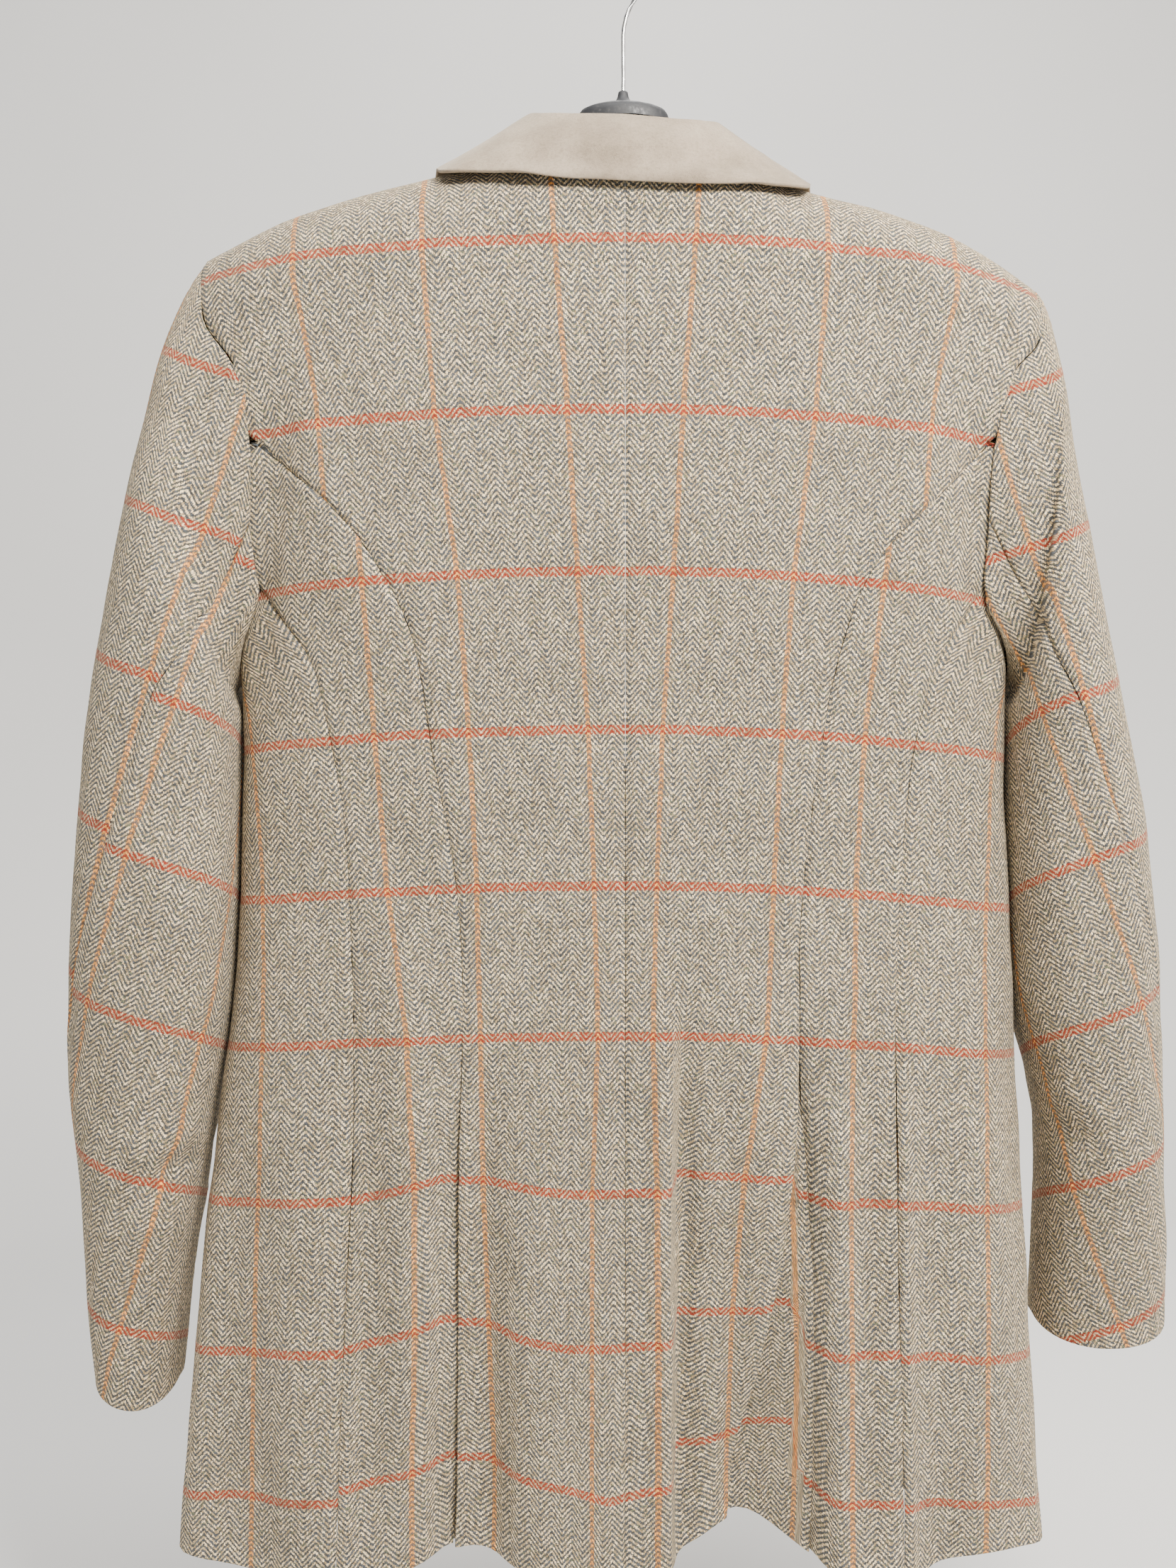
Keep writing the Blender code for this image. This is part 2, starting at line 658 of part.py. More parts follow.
LAPEL_WIDTH = 0.078
LAPEL_LIFT = 0.0006
LAPEL_START = 0.006      # its width where it starts to fold back
LAPEL_INSET = 0.001      # from the front's own edge
BREAK_LEVELS = {-1: -0.440, 1: -0.500}  # where each lapel starts to fold back
GORGE_LEVEL = -0.215     # the lapel's top edge


def lapel_surface(side):
    panel_front = front_surface(side)

    def surface(share, row):
        level, _ = row_level(row)
        start = BREAK_LEVELS[side]
        rise = np.clip((level - start) / (GORGE_LEVEL - start), 0.0, 1.0)
        width = LAPEL_START + LAPEL_WIDTH * np.sin(np.pi / 2 * rise) ** 0.8
        outer = smooth_lookup(FRONT_OUTER, 1, level)
        inner = smooth_lookup(FRONT_INNER, 1, level)
        out = inner + LAPEL_INSET + width * share
        return panel_front((outer - out) / (outer - inner), row)
    return surface


def build_lapel(side, label, material):
    first = float(np.interp(BREAK_LEVELS[side], ROW_LEVELS, np.arange(len(ROW_LEVELS))))
    last = float(np.interp(GORGE_LEVEL, ROW_LEVELS, np.arange(len(ROW_LEVELS))))
    rows = np.linspace(first, last, 14)
    shares = np.linspace(0.0, 1.0, 4)
    laid_piece(f"lapel_{label}", lapel_surface(side), shares, rows, material, LAPEL_LIFT)


FLAP_IN = 0.045          # the pocket flap's inner end from the centre
FLAP_OUT = 0.128
FLAP_TOP = -0.640
FLAP_DEPTH = 0.055
FLAP_SLANT = 0.35        # fall per length toward the side


def flap_surface(side):
    panel_front = front_surface(side)

    def surface(share, row):
        out = FLAP_IN + (FLAP_OUT - FLAP_IN) * share
        level = FLAP_TOP - FLAP_SLANT * (out - FLAP_IN) - FLAP_DEPTH * (1 - row)
        body_row = np.interp(level, ROW_LEVELS, np.arange(len(ROW_LEVELS)))
        outer = smooth_lookup(FRONT_OUTER, 1, level)
        inner = smooth_lookup(FRONT_INNER, 1, level)
        return panel_front((outer - out) / (outer - inner), body_row)
    return surface


def build_flap(side, label, material):
    shares = np.linspace(0.0, 1.0, 5)
    rows = np.linspace(0.0, 1.0, 5)
    laid_piece(f"pocket_flap_{label}", flap_surface(side), shares, rows, material, LAPEL_LIFT)


UNDERLAP_TOP_ROW = 6     # the vent opens below this row
UNDERLAP_SINK = 0.0050   # how far the underlap lies inside the back
UNDERLAP_REACH = 0.030   # how far it reaches in under the back's edge
UNDERLAP_TUCK = 0.0040   # how far it goes on behind the side back


def underlap_surface(side):
    """From the side back's vent edge in under the back panel."""
    def surface(share, row):
        level, _ = row_level(row)
        vent = smooth_lookup(SIDE_BACK_INNER, side_index(side), level)
        seam = smooth_lookup(BACK_OUTER, side_index(side), level)
        reach = UNDERLAP_REACH + np.abs(vent - seam)
        out = vent + UNDERLAP_TUCK - (reach + UNDERLAP_TUCK) * share
        point = body_point(turn_on_back(out, level, side), row, side)
        point[..., 1] += UNDERLAP_SINK
        return point
    return surface


def build_underlap(side, label, material):
    shares = np.linspace(0.0, 1.0, 4)
    rows = np.arange(0.0, UNDERLAP_TOP_ROW + 1)
    points, normals = grid_and_normals(underlap_surface(side), shares, rows, away_from_axis)
    cloth_panel(f"vent_underlap_{label}", points, normals, material)


# ---------------------------------------------------------------- collar
COLLAR_REACH = 145.0     # turn of the collar's two front ends
COLLAR_BULGE = 0.006     # how far the turned-down part stands off half-way down
STAND_INSET = np.array([0.90, 0.90, 1.0])    # the stand is a smaller ring inside it
COLLAR_TURNS = (-145, -125, -105, -88, -72, -55, -36, -18, 0, 18, 36, 55, 72, 88, 105, 125, 145)


def collar_lines(turn):
    """Seam, roll and free edge of the collar at a turn, as three arrays of points."""
    at = np.abs(turn)
    sign = np.sign(turn)
    lines = []
    for start in (1, 4, 7):
        x = smooth_lookup(COLLAR, start, at) * sign
        y = smooth_lookup(COLLAR, start + 1, at)
        z = smooth_lookup(COLLAR, start + 2, at)
        lines.append(np.stack([x, y, z], axis=-1))
    return lines


def droop(points, amount=0.0050):
    """The collar follows the right shoulder, which hangs lower than the left."""
    points[..., 2] -= amount * np.clip(points[..., 0] / 0.100, -0.6, 1.0) - 0.001
    return points


def fall_surface(share, row):
    _, roll, edge = collar_lines(share * COLLAR_REACH)
    mix = row[..., None]
    bulge = COLLAR_BULGE * np.sin(np.pi * np.clip(row, 0.0, 1.0))
    point = roll + (edge - roll) * mix
    away = (edge - roll) * np.array([1.0, 1.0, 0.0])
    away = away / np.maximum(np.linalg.norm(away, axis=-1, keepdims=True), 1e-6)
    return droop(point + away * bulge[..., None])


def stand_surface(share, row):
    seam, roll, _ = collar_lines(share * COLLAR_REACH)
    return droop((seam + (roll - seam) * row[..., None]) * STAND_INSET)


def build_collar(material):
    shares = np.array(COLLAR_TURNS) / COLLAR_REACH
    fall_rows = np.array([0.0, 0.2, 0.45, 0.72, 1.0])
    points, normals = grid_and_normals(fall_surface, shares, fall_rows, away_from_axis)
    cloth_panel("collar_fall", points, normals, material, SUEDE)
    stand_rows = np.array([0.0, 0.5, 1.0])
    points, normals = grid_and_normals(stand_surface, shares, stand_rows, away_from_axis)
    cloth_panel("collar_stand", points, normals, material, SUEDE)


# ---------------------------------------------------------------- buttons
BUTTON_LEVELS = (-0.530, -0.610, -0.690)
BUTTON_RADIUS = 0.0100
BUTTON_THICK = 0.0035


def build_buttons(material):
    for number, level in enumerate(BUTTON_LEVELS, start=1):
        bpy.ops.mesh.primitive_cylinder_add(
            vertices=32, radius=BUTTON_RADIUS, depth=BUTTON_THICK
        )
        button = bpy.context.object
        button.name = f"button_{number}"
        row = np.interp(level, ROW_LEVELS, np.arange(len(ROW_LEVELS)))
        front = body_point(np.array([180.0]), np.array([row]), 1)[0]
        button.location = (0.0, front[1] + BUTTON_THICK / 2 + 0.0010, front[2])
        button.rotation_euler = (math.radians(90), 0.0, 0.0)
        button.data.materials.append(material)
        button.data.shade_smooth()
        button.data.set_sharp_from_angle(angle=math.radians(40))
        rim = button.modifiers.new("rim", "BEVEL")
        rim.width = 0.0008
        rim.segments = 2
        rim.limit_method = "ANGLE"


# ---------------------------------------------------------------- hanger
HOOK_STEM = (
    # across, height: up from the neck and over to the arc
    (0.0000, NECK_TOP + 0.0010),
    (0.0000, -0.0780),
    (0.0000, -0.0640),
    (0.0016, -0.0550),
    (0.0056, -0.0465),
    (0.0115, -0.0390),
)
HOOK_START = -38.0       # the arc's first angle, from +X
HOOK_END = 196.0


def build_hook(material):
    middle = HOOK_RADIUS + HANG_WIRE
    route = [(across, 0.0, height) for across, height in HOOK_STEM]
    for angle in np.radians(np.linspace(HOOK_START, HOOK_END, 28)):
        route.append((middle * math.cos(angle), 0.0, middle * math.sin(angle) - HOOK_RADIUS))
    curve = bpy.data.curves.new("hanger_hook", "CURVE")
    curve.dimensions = "3D"
    curve.bevel_depth = HANG_WIRE
    curve.bevel_resolution = 3
    curve.use_fill_caps = True
    line = curve.splines.new("POLY")
    line.points.add(len(route) - 1)
    for point, place in zip(line.points, route):
        point.co = (*place, 1.0)
    curve.materials.append(material)
    hook = bpy.data.objects.new("hanger_hook", curve)
    bpy.context.scene.collection.objects.link(hook)


BAR_SECTIONS = (
    # out, top, height, half_thickness
    (0.000, -0.1075, 0.0260, 0.0125),
    (0.012, -0.1078, 0.0260, 0.0125),
    (0.024, -0.1110, 0.0240, 0.0120),
    (0.034, -0.1310, 0.0160, 0.0100),
    (0.060, -0.1400, 0.0150, 0.0085),
    (0.100, -0.1525, 0.0150, 0.0075),
    (0.145, -0.1690, 0.0140, 0.0070),
    (0.185, -0.1850, 0.0120, 0.0065),
    (0.200, -0.1945, 0.0080, 0.0045),
)
BAR_RIGHT_DROP = 0.012   # the right arm hangs lower at its tip


def build_hanger_body(material):
    outs = [-row[0] for row in reversed(BAR_SECTIONS[1:])] + [row[0] for row in BAR_SECTIONS]
    sides = 12
    points = []
    for out in outs:
        top = smooth_lookup(BAR_SECTIONS, 1, abs(out))
        tall = smooth_lookup(BAR_SECTIONS, 2, abs(out))
        thick = smooth_lookup(BAR_SECTIONS, 3, abs(out))
        top = top - BAR_RIGHT_DROP * max(out / 0.200, 0.0)
        for step in range(sides):
            angle = 2 * math.pi * step / sides
            points.append((out, thick * math.sin(angle), top - tall / 2 * (1 - math.cos(angle))))
    faces = []
    for ring in range(len(outs) - 1):
        for step in range(sides):
            after = (step + 1) % sides
            here = ring * sides
            faces.append((here + step, here + after, here + sides + after, here + sides + step))
    faces.append(tuple(range(sides)))
    last = (len(outs) - 1) * sides
    faces.append(tuple(last + step for step in range(sides)))
    add_object("hanger_body", points, faces, material)


NECK_PROFILE = (
    # radius, height
    (0.0030, NECK_TOP - 0.0002),
    (0.0036, NECK_TOP - 0.0040),
    (0.0048, NECK_TOP - 0.0070),
    (0.0120, NECK_TOP - 0.0095),
    (0.0200, NECK_TOP - 0.0112),
)


NECK_PLAY = 0.0003       # air round the wire
NECK_TALL = 0.0119       # from its top to its flat foot
NECK_ROUND = 0.006       # rings below this radius are round
NECK_SQUASH = 0.62       # the wider ones are flatter from back to front


def build_hanger_neck(material):
    """The cone round the wire, which stops just above the bar."""
    sides = 24
    bore = HANG_WIRE + NECK_PLAY
    foot = NECK_TOP - NECK_TALL
    profile = [(bore, NECK_TOP), *NECK_PROFILE, (NECK_PROFILE[-1][0], foot), (bore, foot)]
    points = []
    for radius, height in profile:
        for step in range(sides):
            angle = 2 * math.pi * step / sides
            squash = 1.0 if radius < NECK_ROUND else NECK_SQUASH
            points.append((radius * math.cos(angle), radius * squash * math.sin(angle), height))
    faces = []
    for ring in range(len(profile)):
        below = (ring + 1) % len(profile)
        for step in range(sides):
            after = (step + 1) % sides
            faces.append((ring * sides + step, ring * sides + after,
                          below * sides + after, below * sides + step))
    add_object("hanger_neck", points, faces, material)


# ---------------------------------------------------------------- the whole part
def main():
    for leftover in list(bpy.data.objects):
        bpy.data.objects.remove(leftover, do_unlink=True)
    tweed = principled("tweed", TWEED_COLOUR, 0.95)
    suede = principled("suede", SUEDE_COLOUR, 0.90)
    horn = principled("horn", BUTTON_COLOUR, 0.35)
    plastic = principled("black_plastic", PLASTIC_COLOUR, 0.55)
    steel = principled("steel_wire", STEEL_COLOUR, 0.30, 1.0)
    for side, label in ((-1, "left"), (1, "right")):
        build_back(side, label, tweed.copy())
        build_side_back(side, label, tweed.copy())
        build_side_front(side, label, tweed.copy())
        build_front(side, label, tweed.copy())
        build_underlap(side, label, tweed.copy())
        build_lapel(side, label, tweed.copy())
        build_flap(side, label, tweed.copy())
        build_sleeve(side, label, tweed.copy())
    build_collar(suede)
    build_buttons(horn)
    build_hook(steel)
    build_hanger_neck(plastic)
    build_hanger_body(plastic.copy())


main()
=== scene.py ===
"""Looks of the tweed hacking jacket on its hanger.

Metres, +Z up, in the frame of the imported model: the origin is the inside top of the
hook, the jacket's back faces -Y and the wearer's right is +X. Each panel is a fine
thin shell on the form of its solid, with its folds, seams and creases, and carries a
UV map in cloth metres so that the herringbone and the window check follow the cut.
"""

import math

import bmesh
import bpy
import numpy as np
from mathutils import Matrix, Vector


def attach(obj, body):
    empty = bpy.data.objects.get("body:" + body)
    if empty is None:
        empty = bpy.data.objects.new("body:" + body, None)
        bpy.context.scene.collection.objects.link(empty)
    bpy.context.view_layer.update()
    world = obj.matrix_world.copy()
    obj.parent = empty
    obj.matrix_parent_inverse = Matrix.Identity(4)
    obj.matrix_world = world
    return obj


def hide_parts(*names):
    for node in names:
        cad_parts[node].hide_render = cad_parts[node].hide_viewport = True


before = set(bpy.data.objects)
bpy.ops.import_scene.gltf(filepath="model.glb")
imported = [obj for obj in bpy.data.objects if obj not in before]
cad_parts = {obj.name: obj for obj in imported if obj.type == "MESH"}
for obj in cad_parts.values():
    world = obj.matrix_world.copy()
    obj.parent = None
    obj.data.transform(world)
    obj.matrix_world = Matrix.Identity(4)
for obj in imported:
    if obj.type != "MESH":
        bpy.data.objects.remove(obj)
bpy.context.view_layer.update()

# ---------------------------------------------------------------- driving sizes
CLOTH = 0.0022           # wall of the tweed

HEM_LEVEL = -0.860       # nominal height of the hem
TOP_LEVEL = -0.118       # nominal height of the shoulder ridge at the neck axis
RIDGE_RADIUS = 0.060     # how far down the cloth rounds over the shoulder
SHEAR_LEVEL = -0.300     # above this the rows begin to follow the shoulder slope
HEM_FADE = 0.30          # the hem's uneven height dies out over this height
SQUARENESS = 2.8         # 2 is an oval body section, more is boxier
UNDERARM_LEVEL = -0.370  # where side seams meet the armhole
PRINCESS_LEVEL = -0.290  # where the curved back seam meets the armhole
ARMHOLE_DIP = 0.042      # the armhole's lowest point under the arm
DIP_START = -0.565       # rows above this bend down towards it
NECK_HALF = 0.078        # neck point to neck axis
NECK_BACK_TURN = 28.0    # the back neckline's place on the ridge's quarter turn

HANG_WIRE = 0.0011       # wire radius
HOOK_RADIUS = 0.020      # inside radius of the hook
NECK_TOP = -0.095        # top of the hanger's neck

# Body sections from hem to top: half widths, half depths behind and in front.
SECTIONS = (
    # level, left, right, back, front
    (-0.860, 0.2335, 0.2215, 0.060, 0.058),
    (-0.800, 0.2295, 0.2185, 0.060, 0.058),
    (-0.730, 0.2240, 0.2150, 0.059, 0.058),
    (-0.650, 0.2160, 0.2105, 0.057, 0.058),
    (-0.570, 0.2065, 0.2065, 0.055, 0.057),
    (-0.480, 0.203, 0.203, 0.054, 0.057),
    (-0.415, 0.2020, 0.2020, 0.055, 0.058),
    (-0.370, 0.2030, 0.2030, 0.056, 0.058),
    (-0.330, 0.2090, 0.2070, 0.056, 0.057),
    (-0.260, 0.230, 0.226, 0.053, 0.053),
    (-0.180, 0.240, 0.238, 0.050, 0.050),
    (-0.118, 0.250, 0.248, 0.050, 0.050),
)

# The shoulder ridge under the cloth's top, each side from the neck axis out.
RIDGE = (
    # out, left, right
    (0.000, -0.118, -0.118),
    (0.050, -0.1290, -0.1310),
    (0.090, -0.1410, -0.1490),
    (0.137, -0.1525, -0.1615),
    (0.183, -0.168, -0.179),
    (0.224, -0.189, -0.205),
)

# The hem's height round the body; turn is 0 at centre back and 90 at the right side.
HEM = (
    # turn, height
    (-180.0, -0.862),
    (-120.0, -0.860),
    (-90.0, -0.862),
    (-60.0, -0.864),
    (-41.0, -0.868),
    (-28.0, -0.862),
    (-22.0, -0.852),
    (-15.0, -0.857),
    (0.0, -0.864),
    (6.0, -0.860),
    (10.0, -0.848),
    (16.0, -0.838),
    (24.0, -0.856),
    (33.0, -0.867),
    (42.0, -0.860),
    (54.0, -0.857),
    (65.0, -0.858),
    (90.0, -0.863),
    (120.0, -0.866),
    (180.0, -0.862),
)

# Soft folds: where they run, how wide and how deep they are at the hem (+ is out).
FOLDS = (
    # turn_top, turn_hem, width, out_at_hem, starts
    (-19.0, -19.0, 6.5, -0.014, -0.560),
    (-5.0, -6.0, 8.0, 0.007, -0.560),
    (13.0, 15.0, 7.5, -0.018, -0.540),
    (30.0, 31.0, 7.0, 0.008, -0.560),
    (42.0, 43.0, 6.0, -0.006, -0.500),
    (58.0, 60.0, 9.0, 0.006, -0.560),
    (-34.0, -34.0, 8.0, 0.006, -0.560),
    (-47.0, -48.0, 6.0, -0.005, -0.520),
    (-63.0, -64.0, 9.0, 0.006, -0.560),
    (120.0, 118.0, 9.0, -0.008, -0.560),
    (150.0, 150.0, 9.0, 0.006, -0.560),
    (-122.0, -124.0, 9.0, -0.008, -0.560),
    (-148.0, -150.0, 9.0, 0.006, -0.560),
)

# Armhole edge on the back and the curved back seam below it, distances from centre.
BACK_OUTER = (
    # level, left, right
    (-0.860, 0.0902, 0.0561),
    (-0.825, 0.0879, 0.0580),
    (-0.778, 0.0865, 0.0692),
    (-0.722, 0.0851, 0.0781),
    (-0.652, 0.0837, 0.0857),
    (-0.591, 0.0821, 0.0879),
    (-0.545, 0.0828, 0.0884),
    (-0.498, 0.0879, 0.0921),
    (-0.456, 0.0963, 0.0977),
    (-0.418, 0.1020, 0.1043),
    (-0.390, 0.1082, 0.1115),
    (-0.363, 0.1210, 0.1220),
    (-0.338, 0.1375, 0.1395),
    (-0.319, 0.1555, 0.1610),
    (-0.290, 0.1900, 0.1890),
    (-0.256, 0.1950, 0.1940),
    (-0.226, 0.2030, 0.2020),
    (-0.184, 0.2157, 0.2130),
    (-0.118, 0.2230, 0.2200),
)

# Inner edge of the side back: the same seam, and the open vent below it.
SIDE_BACK_INNER = (
    # level, left, right
    (-0.860, 0.0902, 0.0888),
    (-0.825, 0.0879, 0.0898),
    (-0.778, 0.0865, 0.0912),
    (-0.722, 0.0851, 0.0912),
    (-0.652, 0.0837, 0.0893),
    (-0.591, 0.0821, 0.0879),
)

# The side seam, which runs a little behind the body's side.
SIDE_SEAM = (
    # level, left, right
    (-0.860, 0.1419, 0.1354),
    (-0.724, 0.1396, 0.1354),
    (-0.639, 0.1375, 0.1363),
    (-0.545, 0.1391, 0.1389),
    (-0.479, 0.1434, 0.1434),
    (-0.432, 0.1528, 0.1509),
    (-0.399, 0.1630, 0.1621),
    (-0.370, 0.1882, 0.1853),
)
SIDE_SEAM_ARMHOLE = (
    # level, left, right
    (-0.370, 0.1882, 0.1853),
    (-0.345, 0.1926, 0.1873),
    (-0.316, 0.1925, 0.1882),
    (-0.290, 0.1914, 0.1904),
)

# Front panel: outer edge and the opening's edge, distances from centre.
FRONT_OUTER = (
    # level, out
    (-0.860, 0.1360),
    (-0.640, 0.1300),
    (-0.545, 0.1280),
    (-0.452, 0.1360),
    (-0.404, 0.1500),
    (-0.370, 0.1780),
    (-0.338, 0.1790),
    (-0.290, 0.1820),
    (-0.256, 0.1870),
    (-0.226, 0.1950),
    (-0.184, 0.2100),
    (-0.118, 0.2215),
)
FRONT_INNER = (
    # level, out; below the break the two fronts lap past the centre
    (-0.860, -0.0150),
    (-0.540, -0.0180),
    (-0.500, -0.0100),
    (-0.400, 0.0180),
    (-0.300, 0.0450),
    (-0.220, 0.0630),
    (-0.118, 0.0780),
)

# Sleeves: outer and inner edge seen from behind, half depth and how far forward.
SLEEVE_LEFT = (
    # out, out_z, in, in_z, depth, forward
    (0.2338, -0.2080, 0.2070, -0.4150, 0.040, 0.000),
    (0.2455, -0.2420, 0.2060, -0.4205, 0.046, -0.002),
    (0.2565, -0.2900, 0.2023, -0.4290, 0.050, -0.004),
    (0.2668, -0.3400, 0.2024, -0.4400, 0.052, -0.004),
    (0.2768, -0.4000, 0.2026, -0.4540, 0.052, -0.004),
    (0.2850, -0.4650, 0.2033, -0.4860, 0.051, -0.004),
    (0.2905, -0.5250, 0.2047, -0.5300, 0.049, -0.003),
    (0.2942, -0.5850, 0.2088, -0.5850, 0.046, -0.001),
    (0.2935, -0.6350, 0.2170, -0.6320, 0.044, 0.002),
    (0.2892, -0.6850, 0.2250, -0.6790, 0.041, 0.006),
    (0.2877, -0.7350, 0.2340, -0.7280, 0.038, 0.011),
    (0.2845, -0.7800, 0.2415, -0.7890, 0.035, 0.016),
)
SLEEVE_RIGHT = (
    # out, out_z, in, in_z, depth, forward
    (0.2255, -0.2180, 0.2070, -0.4150, 0.040, 0.000),
    (0.2310, -0.2500, 0.2060, -0.4205, 0.046, -0.002),
    (0.2380, -0.2950, 0.2023, -0.4290, 0.050, -0.004),
    (0.2460, -0.3450, 0.2024, -0.4400, 0.052, -0.004),
    (0.2570, -0.4050, 0.2026, -0.4560, 0.052, -0.004),
    (0.2695, -0.4650, 0.2033, -0.4860, 0.051, -0.004),
    (0.2785, -0.5250, 0.2047, -0.5300, 0.049, -0.003),
    (0.2845, -0.5800, 0.2076, -0.5800, 0.046, 0.000),
    (0.2868, -0.6250, 0.2200, -0.6250, 0.044, 0.004),
    (0.2885, -0.6700, 0.2250, -0.6650, 0.041, 0.009),
    (0.2935, -0.7130, 0.2250, -0.7050, 0.038, 0.015),
    (0.2950, -0.7520, 0.2240, -0.7550, 0.036, 0.021),
)
# The two sleeve seams as turns round the sleeve: 0 outside, 90 behind, 180 inside.
SLEEVE_SEAMS = (
    # share_of_length, back, front
    (0.00, 126.0, 252.0),
    (0.10, 126.0, 250.0),
    (0.20, 119.0, 246.0),
    (0.33, 106.0, 240.0),
    (0.42, 89.0, 234.0),
    (0.50, 76.0, 228.0),
    (0.58, 57.0, 222.0),
    (0.67, 30.0, 216.0),
    (0.75, 13.0, 210.0),
    (0.85, 4.0, 205.0),
    (1.00, 2.0, 200.0),
)

# Collar, from centre back round to the front end.
COLLAR = (
    # turn, seam_x, seam_y, seam_z, roll_x, roll_y, roll_z, edge_x, edge_y, edge_z
    (0.0, 0.000, -0.0385, -0.153, 0.000, -0.0400, -0.1242, 0.000, -0.0525, -0.1640),
    (30.0, 0.024, -0.0365, -0.152, 0.0245, -0.0375, -0.1240, 0.040, -0.0500, -0.1630),
    (55.0, 0.045, -0.0290, -0.149, 0.0405, -0.0295, -0.1212, 0.074, -0.0440, -0.1585),
    (80.0, 0.061, -0.0140, -0.1375, 0.0512, -0.0140, -0.1168, 0.095, -0.0330, -0.1540),
    (100.0, 0.066, 0.0040, -0.1320, 0.0570, 0.0050, -0.1190, 0.1010, 0.0020, -0.1420),
    (122.0, 0.066, 0.0300, -0.152, 0.062, 0.0345, -0.1400, 0.1060, 0.0380, -0.1560),
    (133.0, 0.065, 0.0420, -0.176, 0.0630, 0.0505, -0.1680, 0.1080, 0.0540, -0.1760),
    (145.0, 0.064, 0.0455, -0.200, 0.0635, 0.0545, -0.1950, 0.1065, 0.0585, -0.2000),
)


# ---------------------------------------------------------------- small helpers
def column(table, index):
    return np.array([row[index] for row in table], dtype=float)


def smooth_lookup(table, index, at):
    """A soft curve through a table's column, by its first column."""
    keys = column(table, 0)
    values = column(table, index)
    slopes = np.gradient(values, keys)
    at = np.clip(at, keys[0], keys[-1])
    cell = np.clip(np.searchsorted(keys, at) - 1, 0, len(keys) - 2)
    width = keys[cell + 1] - keys[cell]
    share = (at - keys[cell]) / width
    start = (1 + 2 * share) * (1 - share) ** 2 * values[cell]
    start_slope = share * (1 - share) ** 2 * width * slopes[cell]
    end = share**2 * (3 - 2 * share) * values[cell + 1]
    end_slope = share**2 * (share - 1) * width * slopes[cell + 1]
    return start + start_slope + end + end_slope


def ease(share):
    share = np.clip(share, 0.0, 1.0)
    return share * share * (3 - 2 * share)


# ---------------------------------------------------------------- the body's form
ROW_LEVELS = (
    HEM_LEVEL, -0.828, -0.790, -0.745, -0.700, -0.652, -0.605, -0.560, -0.515,
    -0.475, -0.440, -0.415, -0.390, UNDERARM_LEVEL, -0.330, PRINCESS_LEVEL, -0.254, -0.215,
    TOP_LEVEL - RIDGE_RADIUS,
)
RIDGE_ROWS = 3           # rows that round over the shoulder
LAST_LEVEL = len(ROW_LEVELS) - 1
LAST_ROW = LAST_LEVEL + RIDGE_ROWS
UNDERARM_ROW = ROW_LEVELS.index(UNDERARM_LEVEL)
PRINCESS_ROW = ROW_LEVELS.index(PRINCESS_LEVEL)


def row_level(row):
    """Nominal height of a row, and how far the ridge has rounded in (1 is not yet)."""
    flat = np.interp(row, np.arange(LAST_LEVEL + 1), ROW_LEVELS)
    flat = np.where(row < 0, ROW_LEVELS[0] + row * (ROW_LEVELS[1] - ROW_LEVELS[0]), flat)
    turn = np.radians(90.0) * np.maximum(row - LAST_LEVEL, 0.0) / RIDGE_ROWS
    level = flat + RIDGE_RADIUS * np.sin(turn)
    return level, np.cos(turn)


def body_width(level, side):
    return smooth_lookup(SECTIONS, 1 if side < 0 else 2, level)


def turn_on_back(out, level, side):
    """The turn, from centre back, of a point this far out from the centre."""
    share = np.clip(np.abs(out) / body_width(level, side), 0.0, 0.999)
    turn = np.degrees(np.arctan2(share, (1 - share**SQUARENESS) ** (1 / SQUARENESS)))
    return turn * np.sign(out)


def fold_depth(turn, level):
    depth = np.zeros_like(level + turn)
    for turn_top, turn_hem, width, out_at_hem, starts in FOLDS:
        fall = np.clip((starts - level) / (starts - HEM_LEVEL), 0.0, 1.1)
        middle = turn_top + (turn_hem - turn_top) * fall
        depth = depth + out_at_hem * fall**1.5 * np.exp(-(((turn - middle) / width) ** 2))
    return depth


def body_point(turn, row, side):
    """A point of the jacket's outer face; turn is 0 at centre back, 180 at centre front."""
    level, rounding = row_level(row)
    angle = np.radians(turn)
    sine = np.sin(angle)
    cosine = np.cos(angle)
    reach = (np.abs(sine) ** SQUARENESS + np.abs(cosine) ** SQUARENESS) ** (-1 / SQUARENESS)
    wide = body_width(level, side)
    behind = smooth_lookup(SECTIONS, 3, level)
    before = smooth_lookup(SECTIONS, 4, level)
    deep = np.where(cosine > 0, behind, before)
    fold = fold_depth(turn * side, level)
    out = wide * reach * sine + fold * sine
    along = -(deep * reach * cosine) * rounding - fold * cosine
    ridge = smooth_lookup(RIDGE, 1 if side < 0 else 2, np.abs(out))
    shear = ease((level - SHEAR_LEVEL) / (TOP_LEVEL - SHEAR_LEVEL))
    sag = 1 - np.clip((level - HEM_LEVEL) / HEM_FADE, 0.0, 1.0)
    height = level + (ridge - TOP_LEVEL) * shear
    height = height + (smooth_lookup(HEM, 1, turn * side) - HEM_LEVEL) * sag**1.5
    return np.stack([out * side, along, height], axis=-1)


def side_index(side):
    return 1 if side < 0 else 2


def front_turn(out, level, side):
    return 180.0 - turn_on_back(out, level, side)


# ---------------------------------------------------------------- fine cloth grids
EDGE_STEPS = np.array([0.0, 0.0003, 0.0007, 0.0012, 0.0019, 0.0030, 0.0050])
SEAM_DITCH = {"seam": 0.0012, "armhole": 0.0007}    # how deep a seam's groove is
SEAM_SPREAD = 0.0019     # how wide
TRIM = 0.00012           # half the air between two pieces
CELL = 0.0048            # size of a grid cell


